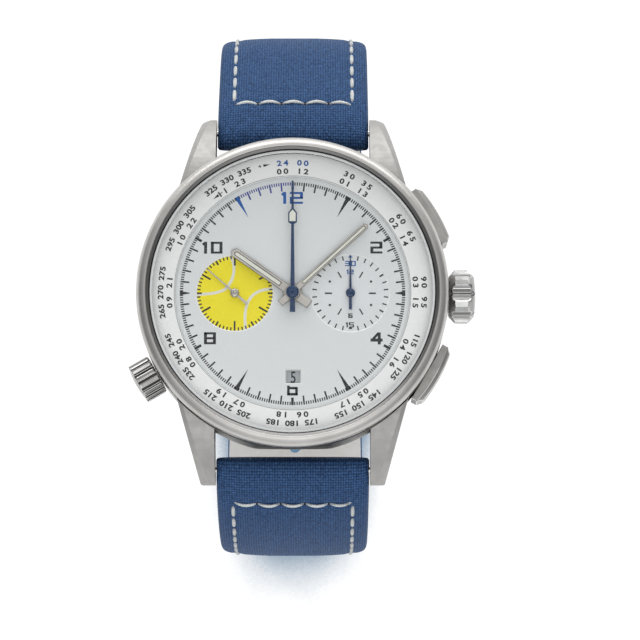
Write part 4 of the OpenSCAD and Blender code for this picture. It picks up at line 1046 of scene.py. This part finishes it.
def makeStrap(name, half):
    begin, end, point = half["begin"], half["end"], half["point"]
    around = 52
    bm = bmesh.new()
    uvLayer = bm.loops.layers.uv.new("clothMap")
    flat = {}

    def sectionPoint(k, s):
        turn = 2 * math.pi * (k + 0.5) / around
        u = math.copysign(abs(math.cos(turn)) ** 0.42, math.cos(turn))
        side = 1 if math.sin(turn) > 0 else -1
        wide = strapWide(s) * (min(1.0, 0.25 + math.sqrt(max(0.0, end - s) / point)) if point else 1.0)
        wide -= 0.35 if s < begin + 0.3 else 0.0
        h = strapHeight(half, u, s, side > 0) * endScale(half, s) * side
        return strapPoint(half, u * wide / 2, s, h)

    stations = stationList(begin, end)
    order = [bm.verts.new(sectionPoint(k, stations[0])) for k in range(around)]
    for vert in order:
        flat[vert] = stations[0]
    edges = list(bm.faces.new(order).edges)
    for s in stations[1:]:
        grown = bmesh.ops.extrude_edge_only(bm, edges=edges)
        fresh = set(newVerts(grown))
        edges = [edge for edge in grown["geom"] if isinstance(edge, bmesh.types.BMEdge)]
        edges = [edge for edge in edges if fresh.issuperset(edge.verts)]
        follow = {edge.other_vert(vert): vert for vert in fresh for edge in vert.link_edges}
        order = [follow[vert] for vert in order]
        for k, vert in enumerate(order):
            vert.co = sectionPoint(k, s)
            flat[vert] = s
    bm.faces.new(order)
    bmesh.ops.recalc_face_normals(bm, faces=bm.faces)
    pitch = strapSpec["weavePitch"]
    for face in bm.faces:
        outer = 0.0
        for loop in face.loops:
            co, s = loop.vert.co, flat[loop.vert]
            loop[uvLayer].uv = (co.x / pitch, s / pitch)
            y, z, heading = strapPlace(half, s)
            outer += -(co.y * half["sign"] - y) * math.sin(heading) + (co.z - z) * math.cos(heading)
        lined = outer / len(face.loops) <= -0.25 * strapThick(flat[face.loops[0].vert])
        face.material_index = 1 if lined else 0
    return finishPiece(bm, name, "strapCanvas strapLining", "case", 70)


# holes are cut with one joined cutter, applied to the mesh
def cutHoles(piece, cutter):
    bmesh.ops.scale(cutter, vec=(mm, mm, mm), verts=cutter.verts)
    bmesh.ops.recalc_face_normals(cutter, faces=cutter.faces)
    tool = newObject("cutter", newMesh("cutter", cutter))
    cut = piece.modifiers.new("holes", "BOOLEAN")
    cut.operation = "DIFFERENCE"
    cut.solver = "EXACT"
    cut.object = tool
    bpy.context.view_layer.update()
    graph = bpy.context.evaluated_depsgraph_get()
    done = bpy.data.meshes.new_from_object(piece.evaluated_get(graph), depsgraph=graph)
    piece.modifiers.clear()
    old, piece.data = piece.data, done
    bpy.data.meshes.remove(old)
    bpy.data.objects.remove(tool)


# a slot with round ends through the lower half
def addSlotCutter(bm, s, width, length):
    y, z, heading = strapPlace(strapHalves["lower"], s)
    outline = []
    for first, reach in ((0, (length - width) / 2), (math.pi, (width - length) / 2)):
        for k in range(13):
            turn = first + math.pi * k / 12
            outline.append((width / 2 * math.cos(turn), reach + width / 2 * math.sin(turn)))
    made = addPlate(bm, outline, -3, 3)
    matrix = Matrix.Diagonal((1, -1, 1, 1)) @ Matrix.Translation((0, y, z)) @ Matrix.Rotation(heading, 4, "X")
    bmesh.ops.transform(bm, matrix=matrix, verts=made)


def addBarCutter(bm, radius, y, z):
    addDrum(bm, (0, y, z), radius, 30, 32, turn=Matrix.Rotation(math.pi / 2, 4, "Y"))


# a matrix from three directions and a place
def axesMatrix(x, y, z, place):
    return Matrix((*zip(x, y, z, place), (0, 0, 0, 1)))


# a thread stitch: a tube along a short bowed line, ends dipping into the cloth
def addStitch(bm, uvLayer, a, b, up, radius, rise, bow=Vector(zero)):
    along = (b - a).normalized()
    steps = 8
    rings = []
    for i in range(steps + 1):
        t = i / steps
        lift = math.sin(math.pi * t) ** 0.6
        centre = a.lerp(b, t) + up * (lift * rise - 0.16) + bow * math.sin(math.pi * t)
        thick = radius * (0.55 + 0.45 * lift)
        made = bmesh.ops.create_circle(bm, cap_ends=False, segments=8, radius=thick)["verts"]
        matrix = axesMatrix(up.cross(along).normalized(), up, along, centre)
        bmesh.ops.transform(bm, matrix=matrix, verts=made)
        rings.append(made)
    faces = []
    for pair in zip(rings, rings[1:]):
        edges = [edge for ring in pair for edge in set(edge for vert in ring for edge in vert.link_edges)
                 if edge.verts[0] in ring and edge.verts[1] in ring]
        faces += bmesh.ops.bridge_loops(bm, edges=edges)["faces"]
    for ring in (rings[0], rings[-1]):
        faces.append(bm.faces.new(ring))
    length = (b - a).length
    for face in faces:
        for loop in face.loops:
            away = loop.vert.co - a
            angle = math.atan2(away.dot(up), away.dot(up.cross(along)))
            loop[uvLayer].uv = (away.dot(along) / length * 6, angle * 1.2)


def makeStitches(name, half):
    spec, firstSeam = strapSpec, half["firstSeam"]
    pitch, radius = spec["stitchPitch"], spec["threadRadius"]
    bm = bmesh.new()
    uvLayer = bm.loops.layers.uv.new("clothMap")

    def surface(x, s):
        heading = strapPlace(half, s)[2]
        h = strapHeight(half, x / (strapWide(s) / 2), s, True) * endScale(half, s)
        up = Vector((0, -half["sign"] * math.sin(heading), math.cos(heading)))
        along = Vector((0, half["sign"] * math.cos(heading), math.sin(heading)))
        return strapPoint(half, x, s, h), up, along

    # a row along each side
    count = int((half["end"] - half["rowLeft"] - half["rowFrom"]) / pitch)
    for side in (-1, 1):
        for i in range(count):
            s0 = half["rowFrom"] + i * pitch + spec["stitchFrom"]
            s1 = s0 + pitch - spec["stitchGap"]
            x = side * (strapWide((s0 + s1) / 2) / 2 - spec["seamInset"])
            p0, p1 = surface(x, s0)[0], surface(x, s1)[0]
            middle, up, along = surface(x, (s0 + s1) / 2)
            lift = up * (middle - (p0 + p1) / 2).dot(up) * 0.8
            rise = spec["tailRise"] if s0 > spec["tailFrom"] else spec["rise"]
            addStitch(bm, uvLayer, p0 + lift, p1 + lift, up, radius, rise)
    # the cross row next to the case
    reach = spec["wide"][0] / 2 - spec["seamInset"]
    pitch = 2 * reach / spec["crossStitches"]
    for i in range(spec["crossStitches"]):
        x0 = -reach + i * pitch + 0.04
        p0, up, along = surface(x0, firstSeam)
        p1 = surface(x0 + pitch - 0.08, firstSeam)[0]
        addStitch(bm, uvLayer, p0 + up * 0.1, p1 + up * 0.1, up, radius * 0.85, spec["rise"],
                  along * spec["crossBow"])
    bmesh.ops.recalc_face_normals(bm, faces=bm.faces)
    finishPiece(bm, name, "creamThread", "case", 80)
    # painted shade of the pricked holes between its stitches, as small dark beads
    pricks = bmesh.new()
    for i in range(1, spec["crossStitches"]):
        place, up, along = surface(-reach + i * pitch, firstSeam)
        matrix = axesMatrix(up.cross(along).normalized(), along, up, place)
        matrix = matrix @ Matrix.Translation((0, 0.12, 0.0)) @ Matrix.Diagonal((1, 1.1, 0.35, 1))
        bmesh.ops.create_icosphere(pricks, subdivisions=2, radius=0.34, matrix=matrix)
    finishPiece(pricks, name + "PrickShade", "prickShade", "case", 80)


def makeStraps():
    spec = strapSpec
    upper = makeStrap("upperStrapCanvas", strapHalves["upper"])
    cutter = bmesh.new()
    addBarCutter(cutter, spec["barHole"], spec["barY"], spec["barZ"])
    addBarCutter(cutter, spec["buckleHole"], spec["buckleY"], spec["loopZ"])
    addBlock(cutter, (0, spec["buckleY"] + 0.3, spec["loopZ"]), spec["tongueSlot"])
    cutHoles(upper, cutter)
    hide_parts("upper_strap")
    lower = makeStrap("lowerStrapCanvas", strapHalves["lower"])
    cutter = bmesh.new()
    addBarCutter(cutter, spec["barHole"], -spec["barY"], spec["barZ"])
    for i in range(-2, 4):
        size = spec["holeSize"] if i else spec["usedHoleSize"]
        addSlotCutter(cutter, spec["usedHole"] + i * spec["holePitch"], *size)
    cutHoles(lower, cutter)
    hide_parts("lower_strap")
    makeStitches("upperStrapStitches", strapHalves["upper"])
    makeStitches("lowerStrapStitches", strapHalves["lower"])


makeStraps()
print("strap made")

keeperSpec = {"length": 5.0, "wall": 0.95, "inside": 20.5, "top": -37.05, "bottom": -42.05, "corner": 1.4,
              "innerCorner": 0.6, "rounding": 0.26, "seamInset": 0.75, "stitches": 9, "stitchFrom": -9.2,
              "stitchPitch": 2.05, "stitchLength": 1.6, "threadRadius": 0.16}


def makeKeeper(name, node, body, y0):
    spec = keeperSpec
    w, z0, z1 = spec["inside"] / 2, spec["bottom"], spec["top"]
    bm = bmesh.new()
    loops = []
    for grow, corner in ((spec["wall"], spec["corner"]), (0.0, spec["innerCorner"])):
        x, low, high = w + grow - corner, z0 - grow + corner, z1 + grow - corner
        verts = []
        for cx, cz, first in ((x, high, 0), (-x, high, 90), (-x, low, 180), (x, low, 270)):
            for k in range(7):
                turn = math.radians(first + 15 * k)
                verts.append(bm.verts.new((cx + corner * math.cos(turn), y0, cz + corner * math.sin(turn))))
        loops += closedLine(bm, verts)
    extrudeBy(bm, bmesh.ops.bridge_loops(bm, edges=loops)["faces"], (0, spec["length"], 0))
    bmesh.ops.recalc_face_normals(bm, faces=bm.faces)
    rim = [edge for edge in bm.edges if len(edge.link_faces) == 2 and edge.calc_face_angle(0) > 1.2]
    bmesh.ops.bevel(bm, geom=rim, offset=spec["rounding"], affect="EDGES", segments=3, profile=0.5, material=-1)
    piece = finishPiece(bm, name, "keeperLeather", body, 60)
    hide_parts(node)
    # a row of stitches along each edge of the outer face
    seams = bmesh.new()
    uvLayer = seams.loops.layers.uv.new("clothMap")
    down, run = Vector((0, 0, -1)), Vector((spec["stitchLength"], 0, 0))
    for y in (y0 + spec["seamInset"], y0 + spec["length"] - spec["seamInset"]):
        for i in range(spec["stitches"]):
            place = Vector((spec["stitchFrom"] + i * spec["stitchPitch"], y, z0 - spec["wall"] + 0.06))
            addStitch(seams, uvLayer, place, place + run, down, spec["threadRadius"], 0.3)
    bmesh.ops.recalc_face_normals(seams, faces=seams.faces)
    finishPiece(seams, name + "Stitches", "creamThread", body, 80)


makeKeeper("fixedKeeperLoop", "fixed_keeper", "case", 5.0)
makeKeeper("freeKeeperLoop", "free_keeper", "free_keeper", 13.5)
print("keepers made")

# jewels as x, y and z of the face, screws as radius, degrees from 3 o'clock and z of the face
movementSpec = {
    "jewels": [(-4.268, -3.307, 4.0), (-8.15, 0.0, 4.0), (-5.81, 4.053, 4.0), (-6.609, 8.583, 3.35)],
    "jewelRing": (0.3, 0.72, 0.05), "settingRing": (0.72, 0.95, 0.07),
    "screws": [(13.6, 176, 4.0), (13.6, 218, 4.0), (13.6, 252, 4.0), (13.6, 95, 4.0), (12.6, 20, 4.0),
               (13.5, 152, 3.35), (11.2, 200, 2.45), (11.2, 292, 2.45)],
    "headLow": 0.62, "headTop": 0.68, "headTall": 0.2, "slotHalf": 0.09, "rootRadius": 0.6, "rootTall": 0.06,
}


def makeMovementDetails():
    spec = movementSpec
    jewels, settings, screws = bmesh.new(), bmesh.new(), bmesh.new()
    for x, y, z in spec["jewels"]:
        for target, (inner, outer, low) in ((jewels, spec["jewelRing"]), (settings, spec["settingRing"])):
            ring = bmesh.new()
            addSpun(ring, squareProfile(inner, outer, z - low, z - 0.001), (x, y), 40)
            joinPart(target, ring)
    for radius, angle, z in spec["screws"]:
        x, y = radius * math.cos(math.radians(angle)), radius * math.sin(math.radians(angle))
        turn = math.radians(angle * 3)
        for side in (-1, 1):  # the slot lies between two half heads
            half = bmesh.new()
            tall = spec["headTall"]
            addDrum(half, (x, y, z - tall / 2), spec["headLow"], tall, 32, spec["headTop"])
            way = Vector((-math.sin(turn), math.cos(turn), 0)) * side
            cutPast(half, Vector((x, y, 0)) + way * spec["slotHalf"], -way)
            joinPart(screws, half)
        addDrum(screws, (x, y, z - spec["rootTall"] / 2), spec["rootRadius"], spec["rootTall"], 32)
    finishPiece(jewels, "jewels", "ruby", "case")
    finishPiece(settings, "jewelSettings", "brassGilt", "case")
    finishPiece(screws, "movementScrews", "bluedSteel", "case")


makeMovementDetails()
print("movement details made")

# floor, light and camera
studio = {
    "floorZ": -43.4, "floorSize": 2.4, "floorTone": (0.86, 0.87, 0.89), "glow": 1.12, "glowPart": 0.92,
    "shadowLean": {"X": 0.0, "Y": 0.5, "Z": 0.87}, "shadowReach": 0.05, "shadowLimits": (0.47, 0.61),
    "shadowHue": (0.12, 0.22, 0.33, 1),
    "front": 0.86, "above": 0.46, "sides": 0.35,
    # place, width and height, power, colour
    "lamps": {"keyBehind": ((0.0, 0.48, 0.16), (0.8, 0.2), 1.2, (1, 1, 1)),
              "topSoft": ((0.0, -0.12, 0.47), (0.45, 0.45), 0.36, (1, 1, 1)),
              "frontFill": ((0.03, -0.24, 0.3), (0.4, 0.2), 0.14, (1.0, 0.98, 0.95))},
    "aim": (3.87, -3.95, 10.6), "tilt": 8.5, "distance": 0.45, "lens": 180,
}


# seen by the camera it glows, apart from a soft shadow, and it lights the watch as a plain pale floor
def makeFloor():
    bm = bmesh.new()
    bmesh.ops.create_grid(bm, x_segments=1, y_segments=1, size=studio["floorSize"] / 2,
                          matrix=Matrix.Translation((0, 0, studio["floorZ"] * mm)))
    mesh = newMesh("paleFloor", bm)
    mat = newMaterial("paleFloor", studio["floorTone"], 0.9)
    tree = mat.node_tree
    # a painted shadow from the watch's occlusion, tinted blue as a painted reflection of the strap, leaning
    # forward as the light behind would cast it
    lean = addNode(tree, "CombineXYZ", studio["shadowLean"]).outputs[0]
    near = addNode(tree, "AmbientOcclusion", {"Distance": studio["shadowReach"], "Normal": lean}, samples=16)
    fade = addRange(tree, near.outputs["AO"], *studio["shadowLimits"])
    hue = addMix(tree, fade, studio["shadowHue"], (1, 1, 1, 1))
    rays = addNode(tree, "LightPath").outputs
    seen = addMath(tree, "MAXIMUM", rays["Is Camera Ray"], rays["Is Glossy Ray"])
    seen = addMath(tree, "MAXIMUM", seen, rays["Is Transmission Ray"])
    part = addMath(tree, "MULTIPLY", seen, studio["glowPart"])
    mixSurface(mat, part, addNode(tree, "Emission", {"Color": hue, "Strength": studio["glow"]}))
    mesh.materials.append(mat)
    floor = newObject("paleFloor", mesh)


# brighter behind the watch, darker at its left and right, as between two screens
def makeRoom():
    world = bpy.data.worlds.new("softRoom")
    world.use_nodes = True
    tree = world.node_tree
    way = addNode(tree, "TexCoord").outputs["Generated"]
    parts = addNode(tree, "SeparateXYZ", {0: way}).outputs
    ramp = addNode(tree, "ValToRGB", {"Fac": addRange(tree, parts["Y"], -1.0, 1.0)})
    stops = ramp.color_ramp.elements  # the last of them, behind, stays white
    stops.new(0.5)
    for stop, level in zip(stops, (studio["front"], studio["above"])):
        stop.color = (0.96 * level, 0.98 * level, level, 1)
    aside = addMath(tree, "MULTIPLY", parts["X"], parts["X"])
    shade = addRange(tree, aside, 0.0, 1.0, 1.0, studio["sides"])
    dim = addVector(tree, "SCALE", ramp.outputs["Color"], shade)
    tree.links.new(dim, tree.nodes["Background"].inputs["Color"])
    bpy.context.scene.world = world


def addLamp(name, place, size, power, color):
    lamp = bpy.data.lights.new(name, "AREA")
    lamp.shape = "RECTANGLE"
    lamp.size, lamp.size_y = size
    lamp.energy = power
    lamp.color = color
    holder = newObject(name, lamp)
    holder.location = place
    holder.rotation_euler = (-Vector(place)).to_track_quat("-Z", "Y").to_euler()


def makeCamera():
    tilt = math.radians(studio["tilt"])
    lens = bpy.data.cameras.new("photoCamera")
    lens.lens = studio["lens"]
    lens.sensor_width = 36
    lens.clip_start = 0.01
    lens.clip_end = 10
    camera = newObject("photoCamera", lens)
    away = Vector((0, -math.sin(tilt), math.cos(tilt))) * studio["distance"]
    camera.location = Vector(studio["aim"]) * mm + away
    camera.rotation_euler = (tilt, 0, 0)
    bpy.context.scene.camera = camera


makeFloor()
makeRoom()
for name, spec in studio["lamps"].items():
    addLamp(name, *spec)
makeCamera()
bpy.context.scene.view_settings.view_transform = "Standard"
print("studio and camera set")

# the view layer brought up to date at the end
bpy.context.view_layer.update()
